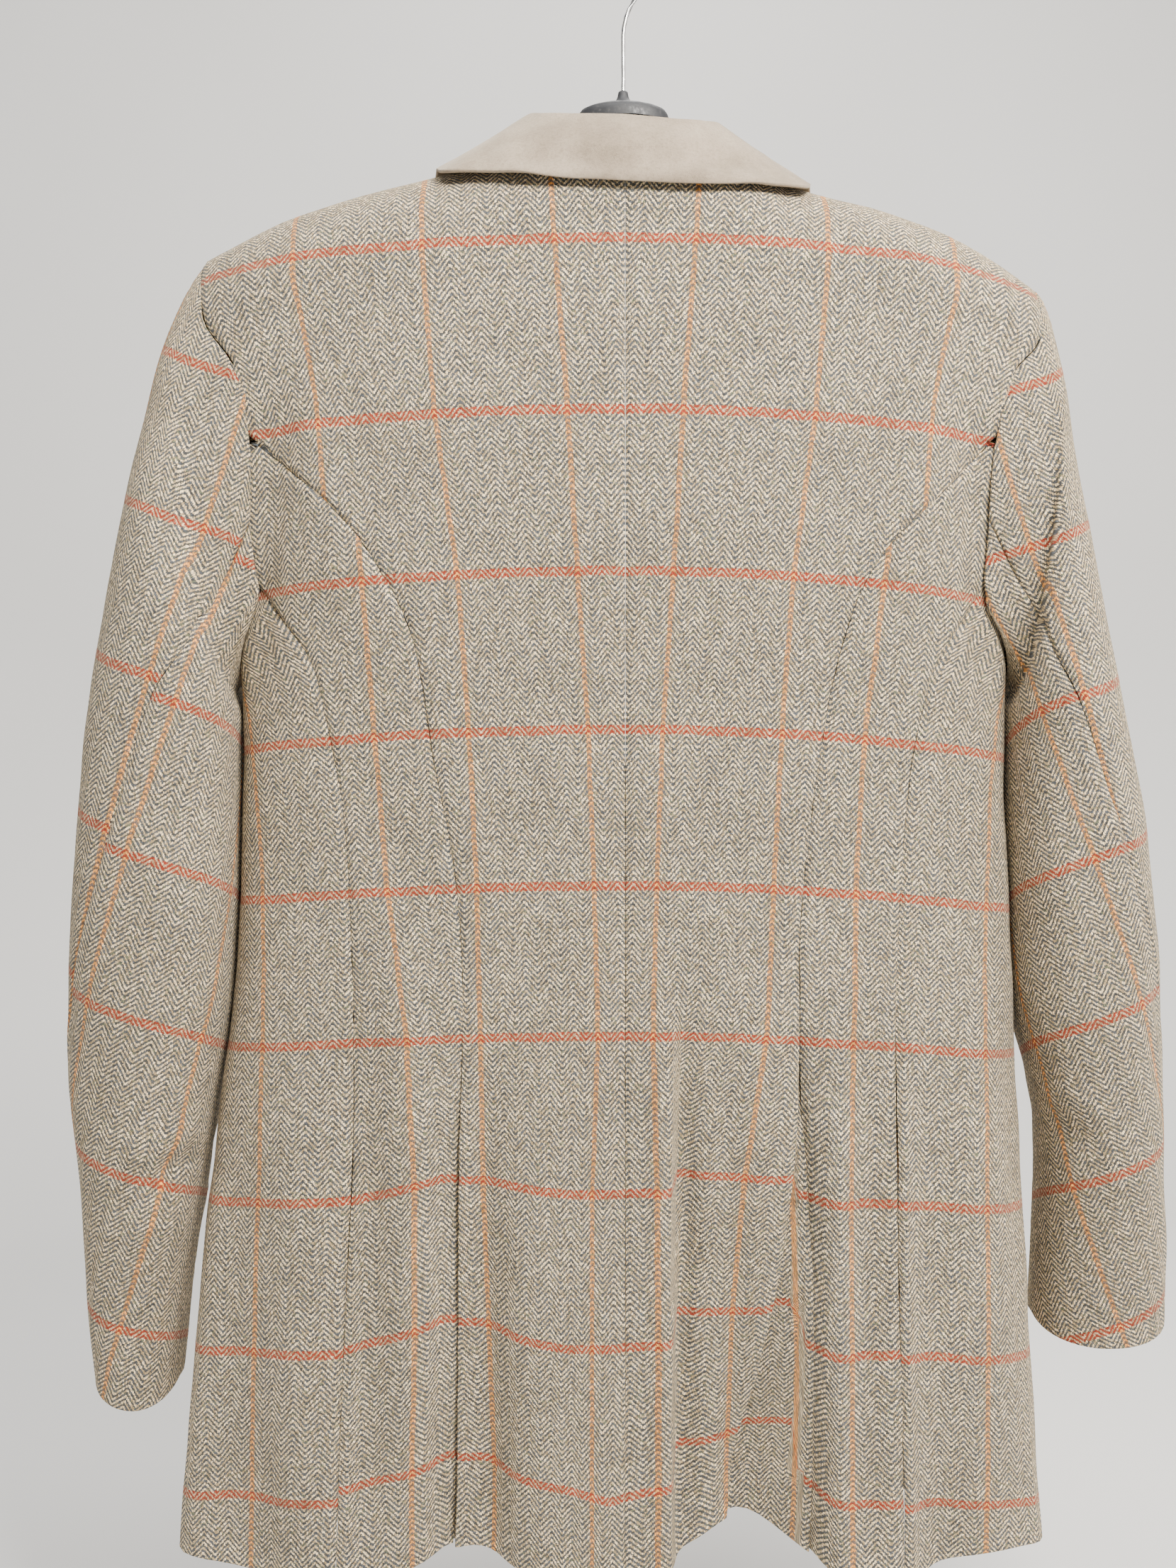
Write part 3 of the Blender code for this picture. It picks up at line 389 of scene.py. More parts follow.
def spread_out(length, cell=CELL):
    """Distances from 0 to a length, close together next to both ends."""
    middle_length = length - 2 * EDGE_STEPS[-1]
    count = max(2, int(math.ceil(middle_length / cell)))
    middle = np.linspace(EDGE_STEPS[-1], length - EDGE_STEPS[-1], count + 1)
    return np.concatenate([EDGE_STEPS[:-1], middle, length - EDGE_STEPS[-2::-1]])


def run_length(points, axis):
    """How far along a grid each point is, in metres, along one of its two ways."""
    steps = np.linalg.norm(np.diff(points, axis=axis), axis=-1)
    start = np.zeros_like(np.take(steps, [0], axis=axis))
    return np.concatenate([start, np.cumsum(steps, axis=axis)], axis=axis)


ACROSS_PROBES = 300      # steps by which a form is measured before it is divided
DOWN_PROBES = 500


def measured_shares(surface, row, cell=CELL):
    probe = np.linspace(0.0, 1.0, ACROSS_PROBES)
    run = run_length(surface(probe[None, :], np.full((1, ACROSS_PROBES), float(row))), 1)[0]
    return np.interp(spread_out(run[-1], cell), run, probe)


def measured_rows(surface, first, last, share=0.5, cell=CELL):
    probe = np.linspace(first, last, DOWN_PROBES)
    run = run_length(surface(np.full((DOWN_PROBES, 1), share), probe[:, None]), 0)[:, 0]
    return np.interp(spread_out(run[-1], cell), run, probe)


def grid_and_normals(surface, shares, rows, outward):
    """Points of a form on a grid, with its outward normals from small steps each way."""
    share_grid, row_grid = np.meshgrid(shares, rows)
    step = 0.004
    across = surface(share_grid + step, row_grid) - surface(share_grid - step, row_grid)
    row_step = step * (rows[-1] - rows[0])
    up = surface(share_grid, row_grid + row_step) - surface(share_grid, row_grid - row_step)
    normals = np.cross(across, up)
    length = np.linalg.norm(normals, axis=-1, keepdims=True)
    normals = normals / np.maximum(length, 1e-12)
    points = surface(share_grid, row_grid)
    if np.mean(np.sum(normals * outward(points), axis=-1)) < 0:
        normals = -normals
    return points, normals, share_grid, row_grid


def grid_normals(points, like):
    """Normals of a grid of points, turned the same way as another set of normals."""
    across = np.gradient(points, axis=1)
    up = np.gradient(points, axis=0)
    normals = np.cross(across, up)
    normals /= np.maximum(np.linalg.norm(normals, axis=-1, keepdims=True), 1e-12)
    return normals * np.sign(np.sum(normals * like, axis=-1, keepdims=True))


def away_from_axis(points):
    return points * np.array([1.0, 1.0, 0.0])


def edge_distances(points):
    """Distance from each grid point to the four borders: first and last column, row."""
    across = run_length(points, 1)
    along = run_length(points, 0)
    return {
        "start": across,
        "end": across[:, -1:] - across,
        "bottom": along,
        "top": along[-1:, :] - along,
    }


def wall_object(name, outer, inner, cloth, material):
    """One closed wall from two grids, with its cloth map on both faces and its edges."""
    rows, columns = outer.shape[:2]
    count = rows * columns
    index = np.arange(count).reshape(rows, columns)
    quads = np.stack([index[:-1, :-1], index[:-1, 1:], index[1:, 1:], index[1:, :-1]], axis=-1)
    quads = quads.reshape(-1, 4)
    border = np.concatenate([
        index[0, :], index[1:, -1], index[-1, -2::-1], index[-2:0:-1, 0],
    ])
    after = np.roll(border, -1)
    rim = np.stack([after, border, border + count, after + count], axis=-1)
    faces = np.concatenate([quads, quads[:, ::-1] + count, rim])
    points = np.concatenate([outer.reshape(-1, 3), inner.reshape(-1, 3)])
    mid_row = rows // 2
    mid = columns // 2
    across = outer[mid_row, mid + 1] - outer[mid_row, mid]
    up = outer[mid_row + 1, mid] - outer[mid_row, mid]
    if np.dot(np.cross(across, up), outer[mid_row, mid] - inner[mid_row, mid]) < 0:
        faces = faces[:, ::-1]
    mesh = bpy.data.meshes.new(name)
    mesh.vertices.add(len(points))
    mesh.vertices.foreach_set("co", points.astype(np.float32).ravel())
    mesh.loops.add(faces.size)
    mesh.loops.foreach_set("vertex_index", faces.astype(np.int32).ravel())
    mesh.polygons.add(len(faces))
    mesh.polygons.foreach_set("loop_start", np.arange(0, faces.size, 4, dtype=np.int32))
    mesh.update(calc_edges=True)
    flat = np.concatenate([cloth.reshape(-1, 2), cloth.reshape(-1, 2)])
    layer = mesh.uv_layers.new(name="cloth")
    layer.data.foreach_set("uv", flat[faces.ravel()].astype(np.float32).ravel())
    mesh.validate()
    mesh.shade_smooth()
    mesh.materials.append(material)
    piece = bpy.data.objects.new(name, mesh)
    bpy.context.scene.collection.objects.link(piece)
    return piece


def face_area(points):
    across = np.diff(points, axis=1)[:-1]
    up = np.diff(points, axis=0)[:, :-1]
    return float(np.sum(np.linalg.norm(np.cross(across, up), axis=-1)))


def finish_sheet(piece, node, cloth, area):
    """Hang the sheet on the root and hide the solid it replaces; the cloth's size is worked out but
    not kept.
    """
    flat = cloth.reshape(-1, 2)
    wide, tall = (float(size) for size in flat.max(axis=0) - flat.min(axis=0))
    wide = max(wide, area / tall)
    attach(piece, "root")
    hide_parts(node)


def edge_profile(distance, kind, wall):
    """How far the outer and the inner face draw in next to a border of this kind."""
    if kind in SEAM_DITCH:
        outer = SEAM_DITCH[kind] * np.exp(-((distance / SEAM_SPREAD) ** 2))
        return outer, np.zeros_like(outer)
    radius = wall / 2
    inside = np.clip(radius - distance, 0.0, radius)
    drop = radius - np.sqrt(np.maximum(radius**2 - inside**2, 0.0))
    return drop, drop


def cloth_sheet(node, grid, cloth, relief, edges, material, wall=CLOTH):
    """A thin shell on a form: creased by its relief, with seams or rolled free edges."""
    points, normals, _, _ = grid
    raised = points + normals * relief[..., None]
    normals = grid_normals(raised, normals)
    distances = edge_distances(points)
    outer_in = np.zeros(points.shape[:2])
    inner_in = np.zeros(points.shape[:2])
    for name, kind in edges.items():
        outer, inner = edge_profile(distances[name], kind, wall)
        outer_in = np.maximum(outer_in, outer)
        inner_in = np.maximum(inner_in, inner)
    raised = trim_border(raised, TRIM)
    outer = raised - normals * outer_in[..., None]
    inner = raised - normals * (wall - np.minimum(inner_in, wall * 0.45))[..., None]
    piece = wall_object(f"{node}_cloth", outer, inner, cloth, material)
    finish_sheet(piece, node, cloth, face_area(raised))
    return piece


def trim_border(points, gap):
    """Pull a grid's border in by this gap, along the grid itself."""
    trimmed = points.copy()
    for edge, inside in ((0, 3), (-1, -4)):
        reach = points[:, inside] - points[:, edge]
        length = np.maximum(np.linalg.norm(reach, axis=-1, keepdims=True), 4 * gap)
        trimmed[:, edge] = points[:, edge] + reach * gap / length
    base = trimmed.copy()
    for edge, inside in ((0, 3), (-1, -4)):
        reach = base[inside] - base[edge]
        length = np.maximum(np.linalg.norm(reach, axis=-1, keepdims=True), 4 * gap)
        trimmed[edge] = base[edge] + reach * gap / length
    return trimmed


# ---------------------------------------------------------------- folds and creases
# Each is a soft ridge (+) or trough (-) from one point to another, seen from its side.
BACK_CREASES = (
    # x, z, to x, to z, width, height
    (0.0180, -0.540, 0.0185, -0.872, 0.0060, 0.0042),
    (0.0290, -0.560, 0.0300, -0.872, 0.0052, -0.0062),
    (0.0440, -0.600, 0.0460, -0.872, 0.0090, 0.0020),
    (-0.0740, -0.580, -0.0690, -0.872, 0.0100, -0.0040),
    (-0.0500, -0.640, -0.0520, -0.872, 0.0120, 0.0024),
    (-0.0220, -0.620, -0.0240, -0.872, 0.0130, -0.0018),
    (0.0670, -0.560, 0.0600, -0.780, 0.0110, 0.0022),
    (-0.1780, -0.235, -0.1900, -0.420, 0.0110, -0.0040),
    (-0.1650, -0.240, -0.1420, -0.380, 0.0140, 0.0022),
    (0.1770, -0.245, 0.1880, -0.430, 0.0110, -0.0038),
    (0.1620, -0.245, 0.1400, -0.370, 0.0140, 0.0020),
    (-0.0950, -0.155, -0.1900, -0.215, 0.0120, 0.0010),
    (0.0950, -0.165, 0.1880, -0.225, 0.0120, 0.0010),
    (-0.0550, -0.178, 0.0550, -0.180, 0.0080, -0.0012),
    (-0.0900, -0.470, -0.0350, -0.500, 0.0120, -0.0008),
    (0.0900, -0.480, 0.0300, -0.515, 0.0130, -0.0008),
    (-0.1140, -0.520, -0.1080, -0.872, 0.0110, 0.0032),
    (-0.1330, -0.560, -0.1300, -0.872, 0.0120, -0.0034),
    (-0.1700, -0.560, -0.1680, -0.872, 0.0150, 0.0034),
    (-0.2010, -0.600, -0.2050, -0.872, 0.0110, -0.0030),
    (0.1400, -0.580, 0.1400, -0.872, 0.0070, 0.0034),
    (0.1230, -0.580, 0.1180, -0.872, 0.0080, -0.0036),
    (0.1040, -0.600, 0.1000, -0.872, 0.0090, 0.0026),
    (0.1780, -0.560, 0.1740, -0.872, 0.0150, 0.0030),
    (0.2040, -0.560, 0.2080, -0.872, 0.0110, -0.0028),
    (-0.1450, -0.440, -0.0900, -0.560, 0.0120, -0.0014),
    (0.1450, -0.440, 0.0900, -0.560, 0.0120, -0.0014),
)
FRONT_CREASES = (
    (-0.1700, -0.270, -0.1200, -0.420, 0.0130, 0.0014),
    (0.1720, -0.275, 0.1250, -0.430, 0.0120, 0.0012),
    (-0.1400, -0.240, -0.1850, -0.400, 0.0140, -0.0016),
    (0.1450, -0.245, 0.1850, -0.405, 0.0130, -0.0016),
    (-0.0300, -0.530, -0.1300, -0.500, 0.0110, 0.0012),
    (0.0280, -0.535, 0.1250, -0.500, 0.0120, 0.0012),
    (-0.0350, -0.545, -0.1150, -0.570, 0.0120, -0.0010),
    (0.0350, -0.550, 0.1150, -0.575, 0.0110, -0.0010),
    (-0.1500, -0.650, -0.1550, -0.860, 0.0160, 0.0018),
    (0.1550, -0.640, 0.1500, -0.860, 0.0160, 0.0016),
    (0.0850, -0.720, 0.0820, -0.860, 0.0180, 0.0014),
)
SLEEVE_CREASES = {
    -1: (
        (-0.2450, -0.240, -0.2180, -0.400, 0.0120, -0.0022),
        (-0.2250, -0.330, -0.2350, -0.470, 0.0100, 0.0016),
        (-0.2200, -0.430, -0.2560, -0.560, 0.0100, -0.0024),
        (-0.2150, -0.560, -0.2520, -0.480, 0.0110, 0.0018),
        (-0.2750, -0.380, -0.2860, -0.520, 0.0160, 0.0010),
        (-0.2150, -0.655, -0.2480, -0.674, 0.0055, -0.0030),
        (-0.2150, -0.640, -0.2580, -0.660, 0.0080, 0.0020),
        (-0.2180, -0.690, -0.2620, -0.700, 0.0090, 0.0014),
        (-0.2120, -0.590, -0.2500, -0.615, 0.0090, -0.0014),
        (-0.2900, -0.560, -0.2700, -0.640, 0.0110, -0.0012),
    ),
    1: (
        (0.2400, -0.250, 0.2150, -0.400, 0.0120, -0.0022),
        (0.2200, -0.330, 0.2300, -0.470, 0.0100, 0.0016),
        (0.2150, -0.420, 0.2450, -0.560, 0.0100, -0.0026),
        (0.2150, -0.540, 0.2480, -0.480, 0.0110, 0.0016),
        (0.2600, -0.360, 0.2720, -0.500, 0.0150, 0.0010),
        (0.2180, -0.640, 0.2450, -0.655, 0.0080, -0.0018),
        (0.2180, -0.620, 0.2500, -0.640, 0.0080, 0.0014),
        (0.2850, -0.560, 0.2660, -0.650, 0.0110, -0.0012),
    ),
}


FOLD_STRENGTH = 1.22     # how deep the folds hang, as a share of the depths above


def crease_relief(points, table):
    """Sum of a table's ridges and troughs, each dying out towards its two ends."""
    relief = np.zeros(points.shape[:2])
    for x, z, to_x, to_z, width, height in table:
        way = np.array([to_x - x, to_z - z])
        length = np.linalg.norm(way)
        way = way / length
        across = points[..., 0] - x
        down = points[..., 2] - z
        along = (across * way[0] + down * way[1]) / length
        aside = across * way[1] - down * way[0]
        end_fade = ease(along / 0.30) * ease((1.12 - along) / 0.30)
        relief += height * np.exp(-((aside / width) ** 2)) * end_fade
    return relief * FOLD_STRENGTH


def soft_noise(points, seed):
    """Slow uneven waves of the cloth, the same each time for the same seed."""
    wave = np.zeros(points.shape[:2])
    for step in range(7):
        phase = seed * 2.3 + step * 1.7
        turn = 2.4 * step + seed
        long_way = 46.0 + 21.0 * step
        across = points[..., 0] + points[..., 1] * 0.7
        route = across * math.cos(turn) + points[..., 2] * math.sin(turn)
        wave += np.sin(route * long_way + phase) / (1.0 + 0.55 * step)
    return wave


PUCKER_LENGTH = 0.0125
PUCKER_HEIGHT = 0.00028
PUCKER_REACH = 0.009


def pucker(points, distance, along_axis, seed):
    """Small gathers beside a seam."""
    run = run_length(points, along_axis)
    uneven = 1.0 + 0.25 * np.sin(run * 71.0 + seed * 3.1)
    waves = np.sin(run * 2 * math.pi / PUCKER_LENGTH * uneven + seed)
    strength = 0.55 + 0.45 * np.sin(run * 23.0 + seed * 5.0)
    fade = np.exp(-distance / PUCKER_REACH) * (1 - np.exp(-distance / 0.0015))
    return PUCKER_HEIGHT * waves * fade * strength


def body_relief(grid, seed, puckered=()):
    points, normals, _, _ = grid
    facing = np.clip(-normals[..., 1] * 1.6, -1.0, 1.0)
    relief = crease_relief(points, BACK_CREASES) * np.clip(facing, 0.0, 1.0)
    relief += crease_relief(points, FRONT_CREASES) * np.clip(-facing, 0.0, 1.0)
    relief += 0.00035 * soft_noise(points, seed)
    distances = edge_distances(points)
    for name in puckered:
        axis = 0 if name in ("start", "end") else 1
        relief += pucker(points, distances[name], axis, seed)
    return relief


# ---------------------------------------------------------------- the cloth's check
CHECK_WIDE = 0.066       # from one upright line to the next
CHECK_HIGH = 0.080       # from one cross stripe to the next

# The cross stripes at the centre back, from the shoulders down.
STRIPE_HEIGHTS = (
    -0.1902, -0.2775, -0.3593, -0.4385, -0.5171, -0.5925, -0.6713, -0.7473, -0.8206,
)
STRIPE_SAG = {-1: 0.010, 1: 0.014}      # how much lower a stripe is 200 mm out
# Upright lines of the back panels, distances from the centre at each of the stripes.
BACK_LINES = {
    -1: (
        (0.0354, 0.1020, 0.1670),
        (0.0291, 0.0963, 0.1555),
        (0.0241, 0.0845, 0.1490),
        (0.0187, 0.0786, 0.1440),
        (0.0157, 0.0747, 0.1400),
        (0.0137, 0.0728, 0.1380),
        (0.0167, 0.0717, 0.1370),
        (0.0167, 0.0693, 0.1350),
        (0.0167, 0.0671, 0.1330),
    ),
    1: (
        (0.0354, 0.1020, 0.1670),
        (0.0291, 0.0963, 0.1555),
        (0.0241, 0.0845, 0.1490),
        (0.0187, 0.0786, 0.1440),
        (0.0157, 0.0747, 0.1400),
        (0.0137, 0.0710, 0.1360),
        (0.0153, 0.0597, 0.1257),
        (0.0153, 0.0536, 0.1196),
        (0.0153, 0.0508, 0.1168),
    ),
}
FOLD_OUT = 0.0247        # where the right back's long fold hides some cloth
FOLD_STRIPE = 4.6        # from this stripe down
# How the lowest three stripes rise and fall with the hem's waves, in metres.
HEM_WAVES = (
    # out, stripe 7, stripe 8, stripe 9
    (-0.2300, -0.0050, -0.0015, 0.0060),
    (-0.2197, -0.0078, -0.0025, 0.0053),
    (-0.1830, -0.0103, -0.0070, -0.0007),
    (-0.1394, -0.0060, -0.0035, 0.0010),
    (-0.0915, 0.0082, 0.0135, 0.0160),
    (-0.0861, 0.0071, 0.0117, 0.0160),
    (-0.0666, 0.0053, 0.0082, 0.0124),
    (-0.0293, 0.0000, -0.0007, 0.0043),
    (-0.0080, 0.0000, 0.0000, -0.0018),
    (0.0169, 0.0010, 0.0018, 0.0036),
    (0.0240, 0.0010, 0.0018, 0.0036),
    (0.0265, 0.0100, 0.0163, 0.0210),
    (0.0542, 0.0090, 0.0188, 0.0330),
    (0.0773, 0.0082, 0.0224, 0.0380),
    (0.0866, 0.0082, 0.0224, 0.0380),
    (0.0870, -0.0025, -0.0007, 0.0036),
    (0.1120, -0.0060, -0.0053, -0.0053),
    (0.1300, -0.0060, -0.0050, -0.0053),
    (0.2200, -0.0020, 0.0060, 0.0080),
)
# The upright line of each side back panel at the third stripe and below.
SIDE_LINES = {
    -1: (0.133, 0.127, 0.1205, 0.1095, 0.1056, 0.1056, 0.1075),
    1: (0.1308, 0.121, 0.117, 0.115, 0.113, 0.113, 0.113),
}


def hang_height(grid):
    """Height of each point, carried on along the cloth where it rounds over the shoulder."""
    points, _, _, rows = grid
    height = points[..., 2].copy()
    above = rows[:, 0] > LAST_LEVEL
    if above.any():
        last = max(int(np.argmax(above)) - 1, 0)
        run = run_length(points, 0)
        height[above] = height[last] + (run - run[last])[above]
    return height


def stripe_rise(height, x, side):
    """How much higher than at the centre back the cloth's stripes are at each point."""
    sag = STRIPE_SAG[side] * (np.minimum(np.abs(x), 0.22) / 0.2) ** 2
    numbers = np.arange(1, len(STRIPE_HEIGHTS) + 1, dtype=float)
    stripe = np.interp(height, STRIPE_HEIGHTS[::-1], numbers[::-1])
    outs = column(HEM_WAVES, 0)
    waves = [np.interp(x, outs, column(HEM_WAVES, index)) for index in (1, 2, 3)]
    rise = -sag
    for first, low in zip((6.0, 7.0, 8.0), waves):
        rise = rise + (low - rise) * np.clip(stripe - first, 0.0, 1.0)
    return rise


def cross_place(height, x, side, waved=True):
    """Cloth height, a whole number of checks at each cross stripe."""
    rise = stripe_rise(height, x, side)
    if not waved:
        rise = -STRIPE_SAG[side] * (np.minimum(np.abs(x), 0.22) / 0.2) ** 2
    level = height - rise
    known = np.array(STRIPE_HEIGHTS[::-1])
    checks = -np.arange(len(known), 0, -1, dtype=float)
    place = np.interp(level, known, checks)
    low_step = known[1] - known[0]
    high_step = known[-1] - known[-2]
    place = np.where(level < known[0], checks[0] + (level - known[0]) / low_step, place)
    place = np.where(level > known[-1], checks[-1] + (level - known[-1]) / high_step, place)
    return place * CHECK_HIGH


def back_cloth(grid, side):
    points = grid[0]
    height = hang_height(grid)
    up = cross_place(height, points[..., 0], side)
    out = np.abs(points[..., 0])
    table = np.array(BACK_LINES[side])
    centre_height = height[:, :1] + np.zeros_like(height)
    stripe = -cross_place(centre_height, np.zeros_like(height), side) / CHECK_HIGH - 1.0
    stripe = np.clip(stripe, -0.8, len(table) - 1.0)
    numbers = np.arange(len(table), dtype=float)
    places = []
    for line in range(3):
        at = np.interp(stripe, numbers, table[:, line])
        places.append(at + np.minimum(stripe, 0.0) * (table[1, line] - table[0, line]))
    first, second, third = places
    inside = 1.0 + (out - first) / (second - first)
    outside = 2.0 + (out - second) / (third - second)
    checks = np.where(out < second, inside, outside)
    if side > 0:
        before = 1.0 + (out - first) / CHECK_WIDE
        after = 2.0 - (second - out) / CHECK_WIDE
        folded = np.where(out < FOLD_OUT, before, np.where(out < second, after, outside))
        share = ease((stripe - FOLD_STRIPE) / 0.8)
        checks = checks + (folded - checks) * share
    return np.stack([checks * CHECK_WIDE, up], axis=-1)


def line_cloth(grid, side, line_out=None, line_run=0.0):
    """Cloth measured along the panel from its upright line."""
    points = grid[0]
    height = hang_height(grid)
    up = cross_place(height, points[..., 0], side, np.mean(grid[1][..., 1]) < 0)
    run = run_length(points, 1)
    if line_out is None:
        return np.stack([run - line_run, up], axis=-1)
    out = np.abs(points[..., 0])
    across = np.empty_like(run)
    for row in range(len(out)):
        stripe = np.clip(-up[row, 0] / CHECK_HIGH - 3.0, -1.5, 6.0)
        known = np.arange(7, dtype=float)
        at = np.interp(stripe, known, np.array(line_out))
        if stripe < 0:
            at = line_out[0] + stripe * (line_out[1] - line_out[0])
        order = np.argsort(out[row])
        slope = (run[row, -1] - run[row, 0]) / max(out[row, -1] - out[row, 0], 1e-4)
        line_at = np.interp(at, out[row][order], run[row][order])
        line_at += slope * (at - np.clip(at, out[row].min(), out[row].max()))
        across[row] = run[row] - line_at
    return np.stack([across, up], axis=-1)


# ---------------------------------------------------------------- body panels
ARMHOLE_TUCK = 0.0070    # how far the body's cloth goes on inside the sleeve
TUCK_SOFT = 0.012
TUCK_TOP = -0.230
TUCK_ROWS = 0.35         # and up inside it under the arm, a little sunk
TUCK_SINK = 0.0014


def armhole_tuck(level, lowest, highest):
    """Extra width between two levels, dying out towards both."""
    fade = ease((level - lowest) / TUCK_SOFT) * ease((highest - level) / TUCK_SOFT)
    return ARMHOLE_TUCK * fade


def back_surface(side):
    def surface(share, row):
        level, _ = row_level(row)
        outer = smooth_lookup(BACK_OUTER, side_index(side), level)
        ridge_outer = smooth_lookup(BACK_OUTER, side_index(side), TOP_LEVEL)
        top_row = np.clip(share / (NECK_HALF / ridge_outer), 0.0, 1.0) ** 2.2
        neck = (NECK_BACK_TURN + (90.0 - NECK_BACK_TURN) * top_row) / 90.0
        lowered = LAST_LEVEL + (row - LAST_LEVEL) * neck
        row = np.where(row > LAST_LEVEL, lowered, row)
        level, _ = row_level(row)
        outer = smooth_lookup(BACK_OUTER, side_index(side), level)
        outer = outer + armhole_tuck(level, PRINCESS_LEVEL, TUCK_TOP)
        return body_point(turn_on_back(outer * share, level, side), row, side)
    return surface


def side_back_surface(side):
    def surface(share, row):
        level, _ = row_level(row)
        seam = smooth_lookup(BACK_OUTER, side_index(side), level)
        vent = smooth_lookup(SIDE_BACK_INNER, side_index(side), level)
        inner = np.where(level < SIDE_BACK_INNER[-1][0], vent, seam)
        lower = smooth_lookup(SIDE_SEAM, side_index(side), level)
        upper = smooth_lookup(SIDE_SEAM_ARMHOLE, side_index(side), level)
        outer = np.where(level < UNDERARM_LEVEL, lower, upper)
        outer = outer + armhole_tuck(level, UNDERARM_LEVEL, PRINCESS_LEVEL)
        return body_point(turn_on_back(inner + (outer - inner) * share, level, side), row, side)
    return surface


def side_front_surface(side):
    def surface(share, row):
        level, _ = row_level(row)
        back_edge = turn_on_back(smooth_lookup(SIDE_SEAM, side_index(side), level), level, side)
        front_edge = front_turn(smooth_lookup(FRONT_OUTER, 1, level), level, side)
        turn = back_edge + (front_edge - back_edge) * share
        dip = ARMHOLE_DIP * np.sin(np.pi * np.clip(share, 0.0, 1.0)) ** 0.8
        rise = ease((level - DIP_START) / (UNDERARM_LEVEL - DIP_START))
        point = body_point(turn, row, side)
        point[..., 2] -= dip * rise
        return point
    return surface


LAP_STEP = 0.0050        # the left front sits this far inside the right one
LAP_REACH = 0.060        # from the centre out
LAP_SOFT = 0.035
LAP_TOP = -0.36
LAP_TALL = 0.10


def front_surface(side):
    def surface(share, row):
        level, _ = row_level(row)
        outer = smooth_lookup(FRONT_OUTER, 1, level)
        inner = smooth_lookup(FRONT_INNER, 1, level)
        out = outer + (inner - outer) * share
        point = body_point(front_turn(out, level, side), row, side)
        if side < 0:
            lap = ease((LAP_REACH - out) / LAP_SOFT) * ease((LAP_TOP - level) / LAP_TALL)
            point[..., 1] -= LAP_STEP * lap
        return point
    return surface


UNDERLAP_TOP_ROW = 6     # the vent opens below this row
UNDERLAP_SINK = 0.0050   # how far the underlap lies inside the back
UNDERLAP_TUCK = 0.0040   # how far it goes on behind the side back
UNDERLAP_REACH = 0.030


def underlap_surface(side):
    """From the side back's vent edge in under the back panel."""
    def surface(share, row):
        level, _ = row_level(row)
        vent = smooth_lookup(SIDE_BACK_INNER, side_index(side), level)
        seam = smooth_lookup(BACK_OUTER, side_index(side), level)
        reach = UNDERLAP_REACH + np.abs(vent - seam)
        out = vent + UNDERLAP_TUCK - (reach + UNDERLAP_TUCK) * share
        point = body_point(turn_on_back(out, level, side), row, side)
        point[..., 1] += UNDERLAP_SINK
        return point
    return surface


UNDERLAP_DEEPER = 0.0030  # how much further in its cloth lies than its solid
# The vents' own folds: the side back turns in and the back's edge lifts a little.
VENT_CREASES = {
    ("side_back", 1): (
        (0.0860, -0.560, 0.0890, -0.960, 0.0120, -0.0080),
        (0.1080, -0.580, 0.1080, -0.920, 0.0090, 0.0022),
    ),
    ("back", 1): ((0.0800, -0.600, 0.0540, -0.900, 0.0100, 0.0024),),
    ("side_back", -1): (
        (-0.0860, -0.580, -0.0900, -0.960, 0.0070, -0.0024),
        (-0.1000, -0.600, -0.1000, -0.920, 0.0080, 0.0012),
    ),
    ("back", -1): ((-0.0840, -0.580, -0.0880, -0.920, 0.0080, 0.0014),),
}


def panel_grid(surface, first, last, outward=away_from_axis, share=0.5, cell=CELL, at=0.5):
    rows = measured_rows(surface, first, last, share, cell)
    shares = measured_shares(surface, first + (last - first) * at, cell)
    return grid_and_normals(surface, shares, rows, outward)


def build_body(side, label, tweed):
    seams = {"start": "seam", "end": "seam", "bottom": "free", "top": "seam"}
    grid = panel_grid(back_surface(side), 0.0, LAST_ROW, share=0.6)
    relief = body_relief(grid, 1.0 + side * 0.2, ("end", "top"))
    relief += crease_relief(grid[0], VENT_CREASES["back", side])
    cloth_sheet(f"back_{label}", grid, back_cloth(grid, side), relief, seams, tweed)

    grid = panel_grid(side_back_surface(side), 0.0, PRINCESS_ROW)
    relief = body_relief(grid, 2.0 + side * 0.3, ("start", "end", "top"))
    relief += crease_relief(grid[0], VENT_CREASES["side_back", side])
    cloth = line_cloth(grid, side, SIDE_LINES[side])
    cloth_sheet(f"side_back_{label}", grid, cloth, relief, seams, tweed)

    grid = panel_grid(side_front_surface(side), 0.0, UNDERARM_ROW + TUCK_ROWS)
    relief = body_relief(grid, 3.0 + side * 0.3, ("start", "end"))
    relief -= TUCK_SINK * ease((grid[3] - UNDERARM_ROW) / (TUCK_ROWS / 2))
    cloth = line_cloth(grid, side, line_run=0.050)
    cloth_sheet(f"side_front_{label}", grid, cloth, relief, seams, tweed)

    grid = panel_grid(front_surface(side), 0.0, LAST_ROW, share=0.4)
    relief = body_relief(grid, 4.0 + side * 0.3, ("start",))
    cloth = line_cloth(grid, side, line_run=0.040)
    edges = {"start": "seam", "end": "free", "bottom": "free", "top": "seam"}
    cloth_sheet(f"front_{label}", grid, cloth, relief, edges, tweed)

    grid = panel_grid(underlap_surface(side), 0.0, UNDERLAP_TOP_ROW)
    relief = body_relief(grid, 5.0) - UNDERLAP_DEEPER
    cloth = line_cloth(grid, side, line_run=0.010)
    edges = {"start": "free", "end": "free", "bottom": "free", "top": "free"}
    cloth_sheet(f"vent_underlap_{label}", grid, cloth, relief, edges, tweed)


